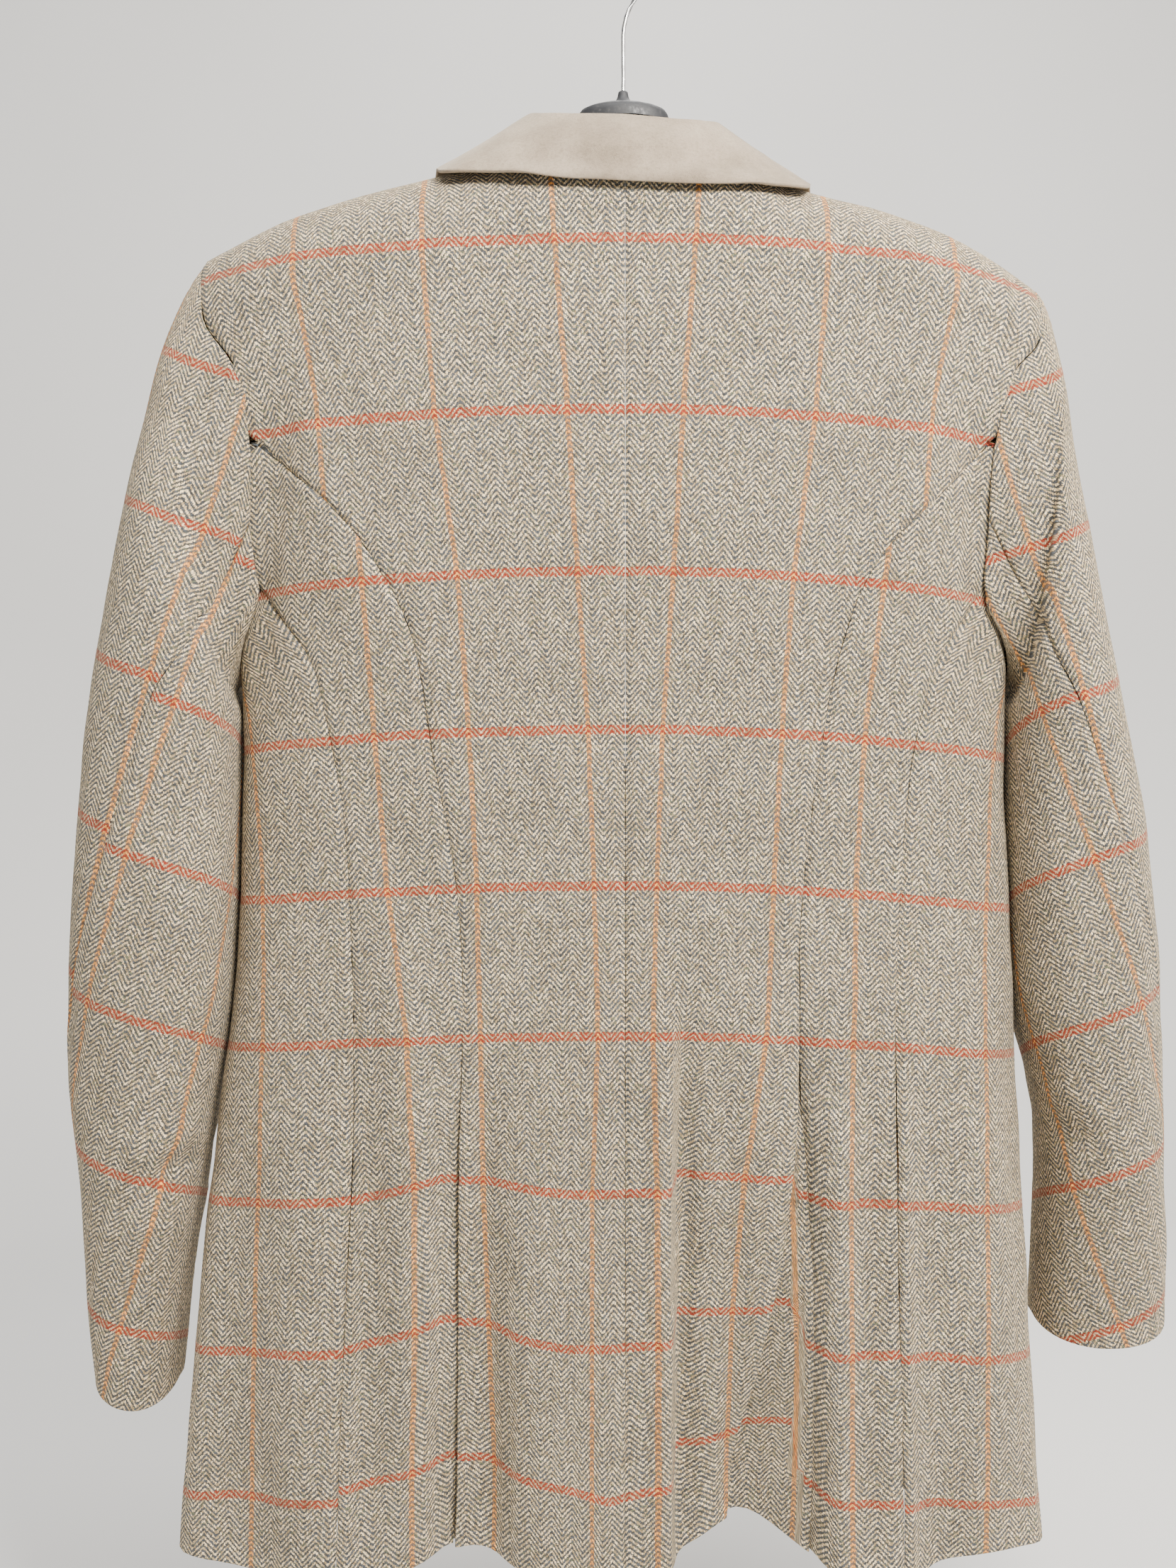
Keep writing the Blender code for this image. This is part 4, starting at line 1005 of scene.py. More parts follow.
# ---------------------------------------------------------------- laid-on pieces
LAPEL_WIDTH = 0.078
LAPEL_LIFT = 0.0006
LAPEL_START = 0.006      # its width where it starts to fold back
LAPEL_INSET = 0.001      # from the front's own edge
BREAK_LEVELS = {-1: -0.440, 1: -0.500}
GORGE_LEVEL = -0.215
LAPEL_ROLL = 0.0022      # how far the lapel stands off along its fold

FLAP_IN = 0.045
FLAP_OUT = 0.128
FLAP_TOP = -0.640
FLAP_DEPTH = 0.055
FLAP_SLANT = 0.35


def level_to_row(level):
    return np.interp(level, ROW_LEVELS, np.arange(len(ROW_LEVELS)))


def on_front(side, out, level, row):
    outer = smooth_lookup(FRONT_OUTER, 1, level)
    inner = smooth_lookup(FRONT_INNER, 1, level)
    return front_surface(side)((outer - out) / (outer - inner), row)


def lapel_surface(side):
    def surface(share, row):
        level, _ = row_level(row)
        start = BREAK_LEVELS[side]
        rise = np.clip((level - start) / (GORGE_LEVEL - start), 0.0, 1.0)
        width = LAPEL_START + LAPEL_WIDTH * np.sin(np.pi / 2 * rise) ** 0.8
        inner = smooth_lookup(FRONT_INNER, 1, level)
        return on_front(side, inner + LAPEL_INSET + width * share, level, row)
    return surface


def flap_surface(side):
    def surface(share, row):
        out = FLAP_IN + (FLAP_OUT - FLAP_IN) * share
        level = FLAP_TOP - FLAP_SLANT * (out - FLAP_IN) - FLAP_DEPTH * (1 - row)
        return on_front(side, out, level, level_to_row(level))
    return surface


def lifted(grid, lift):
    points, normals, shares, rows = grid
    return points + normals * lift[..., None], normals, shares, rows


def build_laid(side, label, tweed):
    free = {"start": "free", "end": "free", "bottom": "free", "top": "free"}
    under = CLOTH + LAPEL_LIFT
    grid = panel_grid(lapel_surface(side), float(level_to_row(BREAK_LEVELS[side])),
                      float(level_to_row(GORGE_LEVEL)), at=0.9)
    relief = body_relief(grid, 4.0 + side * 0.3)
    roll = LAPEL_ROLL * np.exp(-((edge_distances(grid[0])["start"] / 0.012) ** 2))
    grid = lifted(grid, under + roll)
    cloth = line_cloth(grid, side, line_run=0.030)
    cloth_sheet(f"lapel_{label}", grid, cloth, relief, free, tweed)

    grid = panel_grid(flap_surface(side), 0.0, 1.0)
    relief = body_relief(grid, 4.0 + side * 0.3)
    grid = lifted(grid, np.full(grid[0].shape[:2], under))
    cloth = line_cloth(grid, side, line_run=0.040)
    cloth_sheet(f"pocket_flap_{label}", grid, cloth, relief, free, tweed)


# ---------------------------------------------------------------- sleeves
SLEEVE_START = 0.0


def armhole_point(turn, side):
    """The armhole's edge: 0 at the shoulder, 90 behind, 180 under the arm, 270 in front."""
    turn = np.mod(turn, 360.0)
    behind = turn <= 180.0
    fall = np.where(behind, turn, 360.0 - turn) / 180.0
    side_share = np.clip((fall - 0.80) / 0.20, 0.0, 1.0)
    row_back = LAST_ROW + (UNDERARM_ROW - LAST_ROW) * np.clip(fall / 0.80, 0.0, 1.0)
    level, _ = row_level(row_back)
    back_out = np.where(
        level > PRINCESS_LEVEL,
        smooth_lookup(BACK_OUTER, side_index(side), level),
        smooth_lookup(SIDE_SEAM_ARMHOLE, side_index(side), level),
    )
    front_out = smooth_lookup(FRONT_OUTER, 1, level)
    turn_back = turn_on_back(back_out, level, side)
    turn_front = front_turn(front_out, level, side)
    seat = side_share * 0.5
    seat = np.where(behind, seat, 1.0 - seat)
    under = side_front_surface(side)(seat, np.full_like(fall, float(UNDERARM_ROW)))
    on_back = body_point(turn_back, row_back, side)
    front = body_point(turn_front, row_back, side)
    edge = np.where(behind[..., None], on_back, front)
    return np.where((fall > 0.80)[..., None], under, edge)


SLEEVE_ROUNDNESS = 2.3
CUFF_DIP = 0.0105        # how much lower the cuff hangs behind than at its sides
CUFF_SHARE = {1: 1.0, 2: 0.55, 3: 0.2}  # by ring, counted from the cuff


def sleeve_ring(table, index, turn, side):
    out, out_z, inside, inside_z, depth, forward = table[index]
    angle = np.radians(turn)
    cosine = np.cos(angle)
    sine = np.sin(angle)
    power = SLEEVE_ROUNDNESS
    reach = (np.abs(sine) ** power + np.abs(cosine) ** power) ** (-1 / power)
    share = (1 + reach * cosine) / 2
    x = inside + (out - inside) * share
    z = inside_z + (out_z - inside_z) * share
    y = forward - depth * reach * sine
    z = z - CUFF_DIP * np.clip(sine, 0.0, 1.0) * CUFF_SHARE.get(len(table) - index, 0.0)
    return np.stack([x * side, y + np.zeros_like(x), z], axis=-1)


def sleeve_surface(side, first_turn, last_turn):
    """Share runs round the sleeve between two seams, row from armhole to cuff."""
    table = SLEEVE_LEFT if side < 0 else SLEEVE_RIGHT
    last = len(table)

    def surface(share, row):
        length = np.clip(row / last, 0.0, 1.0)
        start = first_turn(length)
        turn = start + (last_turn(length) - start) * share
        row = np.broadcast_to(row, turn.shape)
        rings = [armhole_point(turn, side)]
        rings += [sleeve_ring(table, index, turn, side) for index in range(last)]
        rings = np.stack(rings)
        cell = np.clip(np.floor(row).astype(int), 0, last - 1)
        mix = (row - cell)[..., None]
        pick = np.indices(row.shape)
        before = rings[(np.maximum(cell - 1, 0), *pick)]
        here = rings[(cell, *pick)]
        after = rings[(cell + 1, *pick)]
        beyond = rings[(np.minimum(cell + 2, last), *pick)]
        slope_here = (after - before) / 2
        slope_after = (beyond - here) / 2
        return (
            (1 + 2 * mix) * (1 - mix) ** 2 * here
            + mix * (1 - mix) ** 2 * slope_here
            + mix**2 * (3 - 2 * mix) * after
            + mix**2 * (mix - 1) * slope_after
        )
    return surface


def back_seam_turn(length):
    return smooth_lookup(SLEEVE_SEAMS, 1, length)


def front_seam_turn(length):
    return smooth_lookup(SLEEVE_SEAMS, 2, length)


def away_from_sleeve(side):
    def outward(points):
        table = SLEEVE_LEFT if side < 0 else SLEEVE_RIGHT
        middle = np.array([side * (table[5][0] + table[5][2]) / 2, table[5][5], 0.0])
        return (points - middle) * np.array([1.0, 1.0, 0.0])
    return outward


# How the grain leans on each sleeve piece, and a place on a line and on a stripe of it.
SLEEVE_GRAIN = {
    # (side, piece): lean in degrees, line (out, height), stripe (out, height)
    (-1, "top"): (17.0, (0.2313, -0.3883), (0.2235, -0.3325)),
    (-1, "under"): (18.0, (0.2129, -0.3846), (0.2396, -0.5048)),
    (1, "top"): (16.0, (0.2171, -0.3777), (0.2099, -0.3438)),
    (1, "under"): (21.0, (0.2275, -0.4812), (0.2311, -0.5055)),
}
LINE_GAP = 0.0656 / 0.066


def sleeve_cloth(grid, side, piece, turns):
    """Cloth laid on the grain: straight down from the shoulder, round the arm by length."""
    points = grid[0]
    run = run_length(points * np.array([1.0, 1.0, 0.0]), 1)
    behind = np.empty(len(points))
    out_behind = np.empty(len(points))
    for row in range(len(points)):
        order = np.argsort(turns[row])
        at = np.clip(90.0, turns[row].min(), turns[row].max())
        behind[row] = np.interp(at, turns[row][order], run[row][order])
        out = np.abs(points[row, :, 0])
        out_behind[row] = np.interp(at, turns[row][order], out[order])
    outward = np.where(turns[:, -1] > turns[:, 0], -1.0, 1.0)
    out = out_behind[:, None] + (run - behind[:, None]) * outward[:, None]
    height = points[..., 2]
    lean, line, stripe = SLEEVE_GRAIN[side, piece]
    sine = math.sin(math.radians(lean))
    cosine = math.cos(math.radians(lean))
    across = out * cosine + height * sine
    up = height * cosine - out * sine
    across_line = line[0] * cosine + line[1] * sine
    up_stripe = stripe[1] * cosine - stripe[0] * sine
    return np.stack([(across - across_line) / LINE_GAP, up - up_stripe], axis=-1)


def build_sleeve(side, label, tweed):
    table = SLEEVE_LEFT if side < 0 else SLEEVE_RIGHT
    last = float(len(table))
    seams = {"start": "seam", "end": "seam", "bottom": "armhole", "top": "free"}

    def top_start(length):
        return front_seam_turn(length) - 360.0

    for piece, first_turn, last_turn, seed in (
        ("top", top_start, back_seam_turn, 6.0), ("under", back_seam_turn, front_seam_turn, 7.0),
    ):
        surface = sleeve_surface(side, first_turn, last_turn)
        grid = panel_grid(surface, SLEEVE_START, last, away_from_sleeve(side), at=0.5)
        points, normals, shares, rows = grid
        length = rows / last
        turns = first_turn(length) + (last_turn(length) - first_turn(length)) * shares
        facing = np.clip(-normals[..., 1] * 1.6, -1.0, 1.0)
        relief = crease_relief(points, SLEEVE_CREASES[side]) * np.abs(facing)
        relief += 0.00025 * soft_noise(points, seed + side * 0.4)
        distances = edge_distances(points)
        relief += 1.3 * pucker(points, distances["bottom"], 1, seed)
        relief += 0.8 * pucker(points, distances["start"], 0, seed)
        relief += 0.8 * pucker(points, distances["end"], 0, seed)
        cloth = sleeve_cloth(grid, side, piece, turns)
        cloth_sheet(f"sleeve_{piece}_{label}", grid, cloth, relief, seams, tweed)


# ---------------------------------------------------------------- collar
COLLAR_REACH = 145.0     # turn of the collar's two front ends
COLLAR_BULGE = 0.006
SUEDE_WALL = 0.0020


def collar_lines(turn):
    """Seam, roll and free edge of the collar at a turn, as three arrays of points."""
    at = np.abs(turn)
    sign = np.sign(turn)
    lines = []
    for start in (1, 4, 7):
        x = smooth_lookup(COLLAR, start, at) * sign
        y = smooth_lookup(COLLAR, start + 1, at)
        z = smooth_lookup(COLLAR, start + 2, at)
        lines.append(np.stack([x, y, z], axis=-1))
    return lines


def droop(points, amount=0.0050):
    """The collar follows the right shoulder, which hangs lower than the left."""
    points[..., 2] -= amount * np.clip(points[..., 0] / 0.100, -0.6, 1.0) - 0.001
    return points


def fall_surface(share, row):
    _, roll, edge = collar_lines(share * COLLAR_REACH)
    mix = (row + np.zeros_like(share))[..., None]
    facing = np.cos(np.radians(share * COLLAR_REACH))[..., None] ** 2
    bulge = COLLAR_BULGE * facing * np.sin(np.pi * np.clip(mix, 0.0, 1.0))
    away = (edge - roll) * np.array([1.0, 1.0, 0.0])
    away = away / np.maximum(np.linalg.norm(away, axis=-1, keepdims=True), 1e-6)
    return droop(roll + (edge - roll) * mix + away * bulge)


def stand_surface(share, row):
    seam, roll, _ = collar_lines(share * COLLAR_REACH)
    inset = np.array([0.90, 0.90, 1.0])
    mix = (row + np.zeros_like(share))[..., None]
    return droop((seam + (roll - seam) * mix) * inset)


COLLAR_CREASES = (
    (-0.0700, -0.140, -0.0450, -0.163, 0.0090, 0.0008),
    (-0.0300, -0.128, -0.0250, -0.165, 0.0120, -0.0007),
    (0.0300, -0.130, 0.0380, -0.165, 0.0130, 0.0007),
    (0.0700, -0.135, 0.0800, -0.160, 0.0090, -0.0008),
    (-0.0700, -0.1560, 0.0000, -0.1600, 0.0045, 0.0014),
    (-0.0100, -0.1600, 0.0800, -0.1600, 0.0045, 0.0014),
    (-0.0700, -0.1490, 0.0800, -0.1520, 0.0050, -0.0008),
)


def run_cloth(grid):
    """Cloth measured by plain length along and across."""
    across = run_length(grid[0], 1)
    along = run_length(grid[0], 0)
    return np.stack([across, along], axis=-1)


def build_collar(suede):
    free = {"start": "free", "end": "free", "bottom": "free", "top": "free"}
    for node, surface, seed in (
        ("collar_fall", fall_surface, 8.0), ("collar_stand", stand_surface, 9.0),
    ):
        rows = measured_rows(surface, 0.0, 1.0, 0.05, 0.0036)
        probe = np.linspace(-1.0, 1.0, 600)
        run = run_length(surface(probe[None, :], np.full((1, 600), 1.0)), 1)[0]
        shares = np.interp(spread_out(run[-1], 0.0036), run, probe)
        grid = grid_and_normals(surface, shares, rows, away_from_axis)
        relief = 0.00020 * soft_noise(grid[0] * 1.6, seed)
        if node == "collar_fall":
            relief += crease_relief(grid[0], COLLAR_CREASES)
        cloth_sheet(node, grid, run_cloth(grid), relief, free, suede, SUEDE_WALL)


# ---------------------------------------------------------------- buttons
BUTTON_LEVELS = (-0.530, -0.610, -0.690)
BUTTON_RADIUS = 0.0100
BUTTON_THICK = 0.0035
BUTTON_PROFILE = (
    # share of radius, share of thickness; the dished face first
    (0.62, 0.66), (0.72, 0.72), (0.80, 0.90), (0.88, 0.99), (0.95, 0.96), (0.99, 0.82),
    (1.00, 0.60), (0.99, 0.40), (0.94, 0.18), (0.84, 0.06), (0.62, 0.00),
)
HOLE_OUT = 0.0021
THREAD_RADIUS = 0.00024
THREAD_GAP = 0.00038     # from one strand to the next
THREAD_START = 0.0002    # where it comes up out of the cloth
THREAD_RISE = 0.00055    # how far it stands off the button
THREAD_BEND = 0.6        # share of the way to a hole where it lies flat
THREAD_SIDES = 8
HOLE_RADIUS = 0.00085
BUTTON_SIDES = 64


def ring_points(radius, height, sides, at=(0.0, 0.0)):
    angles = np.linspace(0.0, 2 * np.pi, sides, endpoint=False)
    return np.stack([
        at[0] + radius * np.cos(angles),
        at[1] + radius * np.sin(angles),
        np.full(sides, height),
    ], axis=-1)


def mesh_piece(name, work, material, smooth_angle=35.0):
    bmesh.ops.recalc_face_normals(work, faces=work.faces)
    mesh = bpy.data.meshes.new(name)
    work.to_mesh(mesh)
    work.free()
    mesh.shade_smooth()
    mesh.set_sharp_from_angle(angle=math.radians(smooth_angle))
    mesh.materials.append(material)
    piece = bpy.data.objects.new(name, mesh)
    bpy.context.scene.collection.objects.link(piece)
    return piece


def button_work():
    """A dished button with four holes, its face up, built on the ring profile."""
    work = bmesh.new()
    rings = []
    for share, tall in BUTTON_PROFILE:
        points = ring_points(BUTTON_RADIUS * share, BUTTON_THICK * tall, BUTTON_SIDES)
        rings.append([work.verts.new(point) for point in points])
    for here, below in zip(rings, rings[1:]):
        for step in range(BUTTON_SIDES):
            after = (step + 1) % BUTTON_SIDES
            work.faces.new((here[step], below[step], below[after], here[after]))
    holes = []
    for x, y in ((1, 1), (-1, 1), (-1, -1), (1, -1)):
        at = (x * HOLE_OUT / math.sqrt(2), y * HOLE_OUT / math.sqrt(2))
        upper = ring_points(HOLE_RADIUS, BUTTON_THICK * BUTTON_PROFILE[0][1], 16, at)
        lower = ring_points(HOLE_RADIUS, 0.0, 16, at)
        upper = [work.verts.new(point) for point in upper]
        lower = [work.verts.new(point) for point in lower]
        for step in range(16):
            after = (step + 1) % 16
            work.faces.new((upper[step], upper[after], lower[after], lower[step]))
        holes.append((upper, lower))
    for outline, level in ((rings[0], 0), (rings[-1], 1)):
        edges = [work.edges.get((a, b)) for a, b in zip(outline, outline[1:] + outline[:1])]
        for hole in holes:
            loop = hole[level]
            edges += [work.edges.get((a, b)) for a, b in zip(loop, loop[1:] + loop[:1])]
        bmesh.ops.triangle_fill(work, edges=edges, use_beauty=True, use_dissolve=False)
    return work


def build_buttons(horn, thread):
    for number, level in enumerate(BUTTON_LEVELS, start=1):
        row = level_to_row(level)
        front = body_point(np.array([180.0]), np.array([float(row)]), 1)[0]
        place = Matrix.Translation((0.0, front[1] + 0.0010, front[2]))
        place = place @ Matrix.Rotation(math.radians(-90), 4, "X")
        work = button_work()
        bmesh.ops.transform(work, matrix=place, verts=work.verts)
        button = mesh_piece(f"button_{number}_horn", work, horn)
        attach(button, "root")
        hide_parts(f"button_{number}")
        work = bmesh.new()
        half = HOLE_OUT / math.sqrt(2)
        height = BUTTON_THICK * BUTTON_PROFILE[0][1]
        for lean in (-1, 1):
            for strand in range(3):
                aside = (strand - 1) * THREAD_GAP
                level_out = lean * half + aside
                top = height + THREAD_RISE
                route = [
                    (-half, level_out, THREAD_START), (-half, level_out, height),
                    (-half * THREAD_BEND, level_out, top), (half * THREAD_BEND, level_out, top),
                    (half, level_out, height), (half, level_out, THREAD_START),
                ]
                add_tube(work, [np.array(point) for point in route], THREAD_RADIUS, THREAD_SIDES)
        bmesh.ops.transform(work, matrix=place, verts=work.verts)
        tied = mesh_piece(f"button_{number}_thread", work, thread, 60.0)
        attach(tied, "root")


def add_tube(work, route, radius, sides, caps=True):
    """A closed round tube along a route of points."""
    rings = []
    up = np.array([0.0, 0.0, 1.0])
    for index, point in enumerate(route):
        before = route[max(index - 1, 0)]
        after = route[min(index + 1, len(route) - 1)]
        way = (after - before) / np.linalg.norm(after - before)
        helper = up if abs(way[2]) < 0.9 else np.array([0.0, 1.0, 0.0])
        aside = np.cross(way, helper)
        aside /= np.linalg.norm(aside)
        other = np.cross(way, aside)
        ring = []
        for step in range(sides):
            angle = 2 * math.pi * step / sides
            offset = aside * math.cos(angle) + other * math.sin(angle)
            ring.append(work.verts.new(point + offset * radius))
        rings.append(ring)
    for here, below in zip(rings, rings[1:]):
        for step in range(sides):
            after = (step + 1) % sides
            work.faces.new((here[step], here[after], below[after], below[step]))
    if caps:
        work.faces.new(rings[0])
        work.faces.new(rings[-1])


# ---------------------------------------------------------------- hanger
HOOK_STEM = (
    # across, height: up from the neck and over to the arc
    (0.0000, NECK_TOP - 0.0100), (0.0000, NECK_TOP + 0.0010), (0.0001, -0.0860),
    (0.0000, -0.0780), (0.0000, -0.0710), (0.0000, -0.0650), (0.0004, -0.0605),
    (0.0016, -0.0550), (0.0034, -0.0505), (0.0056, -0.0465), (0.0084, -0.0425),
    (0.0115, -0.0390),
)
HOOK_START = -38.0       # the arc's first angle, from +X
HOOK_END = 196.0
NECK_PROFILE = (
    # radius, height
    (0.0014, -0.0950), (0.0022, -0.0951), (0.0026, -0.0955), (0.0029, -0.0972),
    (0.0034, -0.0990), (0.0046, -0.1006), (0.0070, -0.1019), (0.0105, -0.1027),
    (0.0140, -0.1033), (0.0175, -0.1041), (0.0205, -0.1051), (0.0228, -0.1062),
    (0.0240, -0.1080), (0.0246, -0.1100), (0.0246, -0.1128), (0.0014, -0.1128),
)
NECK_SQUASH = 0.62       # the dome is flatter from back to front
NECK_SIDES = 96


def build_hanger(steel, plastic):
    middle = HOOK_RADIUS + HANG_WIRE
    route = [np.array([across, 0.0, height]) for across, height in HOOK_STEM]
    for angle in np.radians(np.linspace(HOOK_START, HOOK_END, 90)):
        place = [middle * math.cos(angle), 0.0, middle * math.sin(angle) - HOOK_RADIUS]
        route.append(np.array(place))
    work = bmesh.new()
    add_tube(work, route, HANG_WIRE, 24)
    hook = mesh_piece("hanger_hook_wire", work, steel, 60.0)
    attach(hook, "root")
    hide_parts("hanger_hook")
    work = bmesh.new()
    rings = []
    for radius, height in NECK_PROFILE:
        squash = 1.0 - (1.0 - NECK_SQUASH) * ease((radius - 0.0035) / 0.006)
        points = ring_points(radius, height, NECK_SIDES) * np.array([1.0, squash, 1.0])
        rings.append([work.verts.new(point) for point in points])
    for ring, here in enumerate(rings):
        below = rings[(ring + 1) % len(rings)]
        for step in range(NECK_SIDES):
            after = (step + 1) % NECK_SIDES
            work.faces.new((here[step], here[after], below[after], below[step]))
    neck = mesh_piece("hanger_neck_dome", work, plastic, 50.0)
    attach(neck, "root")
    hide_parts("hanger_neck")
    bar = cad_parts["hanger_body"]
    bar.data.materials.clear()
    bar.data.materials.append(plastic)


# ---------------------------------------------------------------- shader sums
class Value:
    """A shader number that adds its own Math nodes as it is used in sums."""

    def __init__(self, tree, socket):
        self.tree = tree
        self.socket = socket

    def math(self, operation, *others):
        node = self.tree.nodes.new("ShaderNodeMath")
        node.operation = operation
        for socket, value in zip(node.inputs, (self, *others)):
            if isinstance(value, Value):
                self.tree.links.new(value.socket, socket)
            else:
                socket.default_value = value
        return Value(self.tree, node.outputs[0])

    def __add__(self, other):
        return self.math("ADD", other)

    def __sub__(self, other):
        return self.math("SUBTRACT", other)

    def __mul__(self, other):
        return self.math("MULTIPLY", other)

    def __truediv__(self, other):
        return self.math("DIVIDE", other)

    def floor(self):
        return self.math("FLOOR")

    def fraction(self):
        return self.math("FRACT")

    def wrapped(self, length):
        return self.math("FLOORED_MODULO", length)

    def below(self, limit):
        return self.math("LESS_THAN", limit)

    def least(self, other):
        return self.math("MINIMUM", other)

    def most(self, other):
        return self.math("MAXIMUM", other)

    def power(self, exponent):
        return self.math("POWER", exponent)

    def arch(self):
        """0 at 0 and 1, and 1 half-way between."""
        return (self * math.pi).math("SINE").most(0.0).power(0.6)

    def spread(self, low, high, to_low=0.0, to_high=1.0):
        node = self.tree.nodes.new("ShaderNodeMapRange")
        node.interpolation_type = "SMOOTHSTEP"
        self.tree.links.new(self.socket, node.inputs["Value"])
        node.inputs["From Min"].default_value = low
        node.inputs["From Max"].default_value = high
        node.inputs["To Min"].default_value = to_low
        node.inputs["To Max"].default_value = to_high
        return Value(self.tree, node.outputs["Result"])


def combine(tree, x, y, z=0.0):
    node = tree.nodes.new("ShaderNodeCombineXYZ")
    for socket, value in zip(node.inputs, (x, y, z)):
        if isinstance(value, Value):
            tree.links.new(value.socket, socket)
        else:
            socket.default_value = value
    return node.outputs[0]


def noise(tree, vector, scale, detail=2.0, roughness=0.5):
    node = tree.nodes.new("ShaderNodeTexNoise")
    tree.links.new(vector, node.inputs["Vector"])
    node.inputs["Scale"].default_value = scale
    node.inputs["Detail"].default_value = detail
    node.inputs["Roughness"].default_value = roughness
    return Value(tree, node.outputs["Fac"])


def random_value(tree, vector):
    node = tree.nodes.new("ShaderNodeTexWhiteNoise")
    tree.links.new(vector, node.inputs["Vector"])
    return Value(tree, node.outputs["Value"])


def mix_colour(tree, share, first, second, blend="MIX"):
    node = tree.nodes.new("ShaderNodeMix")
    node.data_type = "RGBA"
    node.blend_type = blend
    node.clamp_factor = True
    factor = node.inputs[0]
    sockets = (node.inputs[6], node.inputs[7])
    if isinstance(share, Value):
        tree.links.new(share.socket, factor)
    else:
        factor.default_value = share
    for socket, colour in zip(sockets, (first, second)):
        if isinstance(colour, bpy.types.NodeSocket):
            tree.links.new(colour, socket)
        else:
            socket.default_value = (*colour, 1.0)
    return node.outputs[2]


def new_group(name, outputs, inputs=()):
    tree = bpy.data.node_groups.new(name, "ShaderNodeTree")
    for label, kind, default in inputs:
        socket = tree.interface.new_socket(label, in_out="INPUT", socket_type=kind)
        socket.default_value = default
    for label, kind in outputs:
        tree.interface.new_socket(label, in_out="OUTPUT", socket_type=kind)
    return tree, tree.nodes.new("NodeGroupInput"), tree.nodes.new("NodeGroupOutput")


# ---------------------------------------------------------------- the tweed
ENDS = 100.0             # warp yarns from one upright line to the next
PICKS = 108.0            # weft yarns from one cross stripe to the next
COLUMN_ENDS = 10.0       # the twill turns back after this many
TWILL = 4.0              # two over, two under
LINE_ENDS = 2.1          # half width of the orange upright line
STRIPE_PICKS = 3.2       # half width of the rust cross stripe
YARN_JITTER = 0.0017     # how unevenly the yarns lie

CREAM = (0.850, 0.680, 0.420)
CREAM_WARM = (0.660, 0.480, 0.250)
DARK_WEFT = (0.044, 0.046, 0.048)
BLUE_WEFT = (0.088, 0.098, 0.110)
GREEN_FLECK = (0.150, 0.165, 0.105)
FUZZ_LIGHT = (0.620, 0.520, 0.360)
FUZZ_DARK = (0.090, 0.090, 0.085)
RUST = (0.270, 0.034, 0.016)
ORANGE = (0.920, 0.400, 0.100)


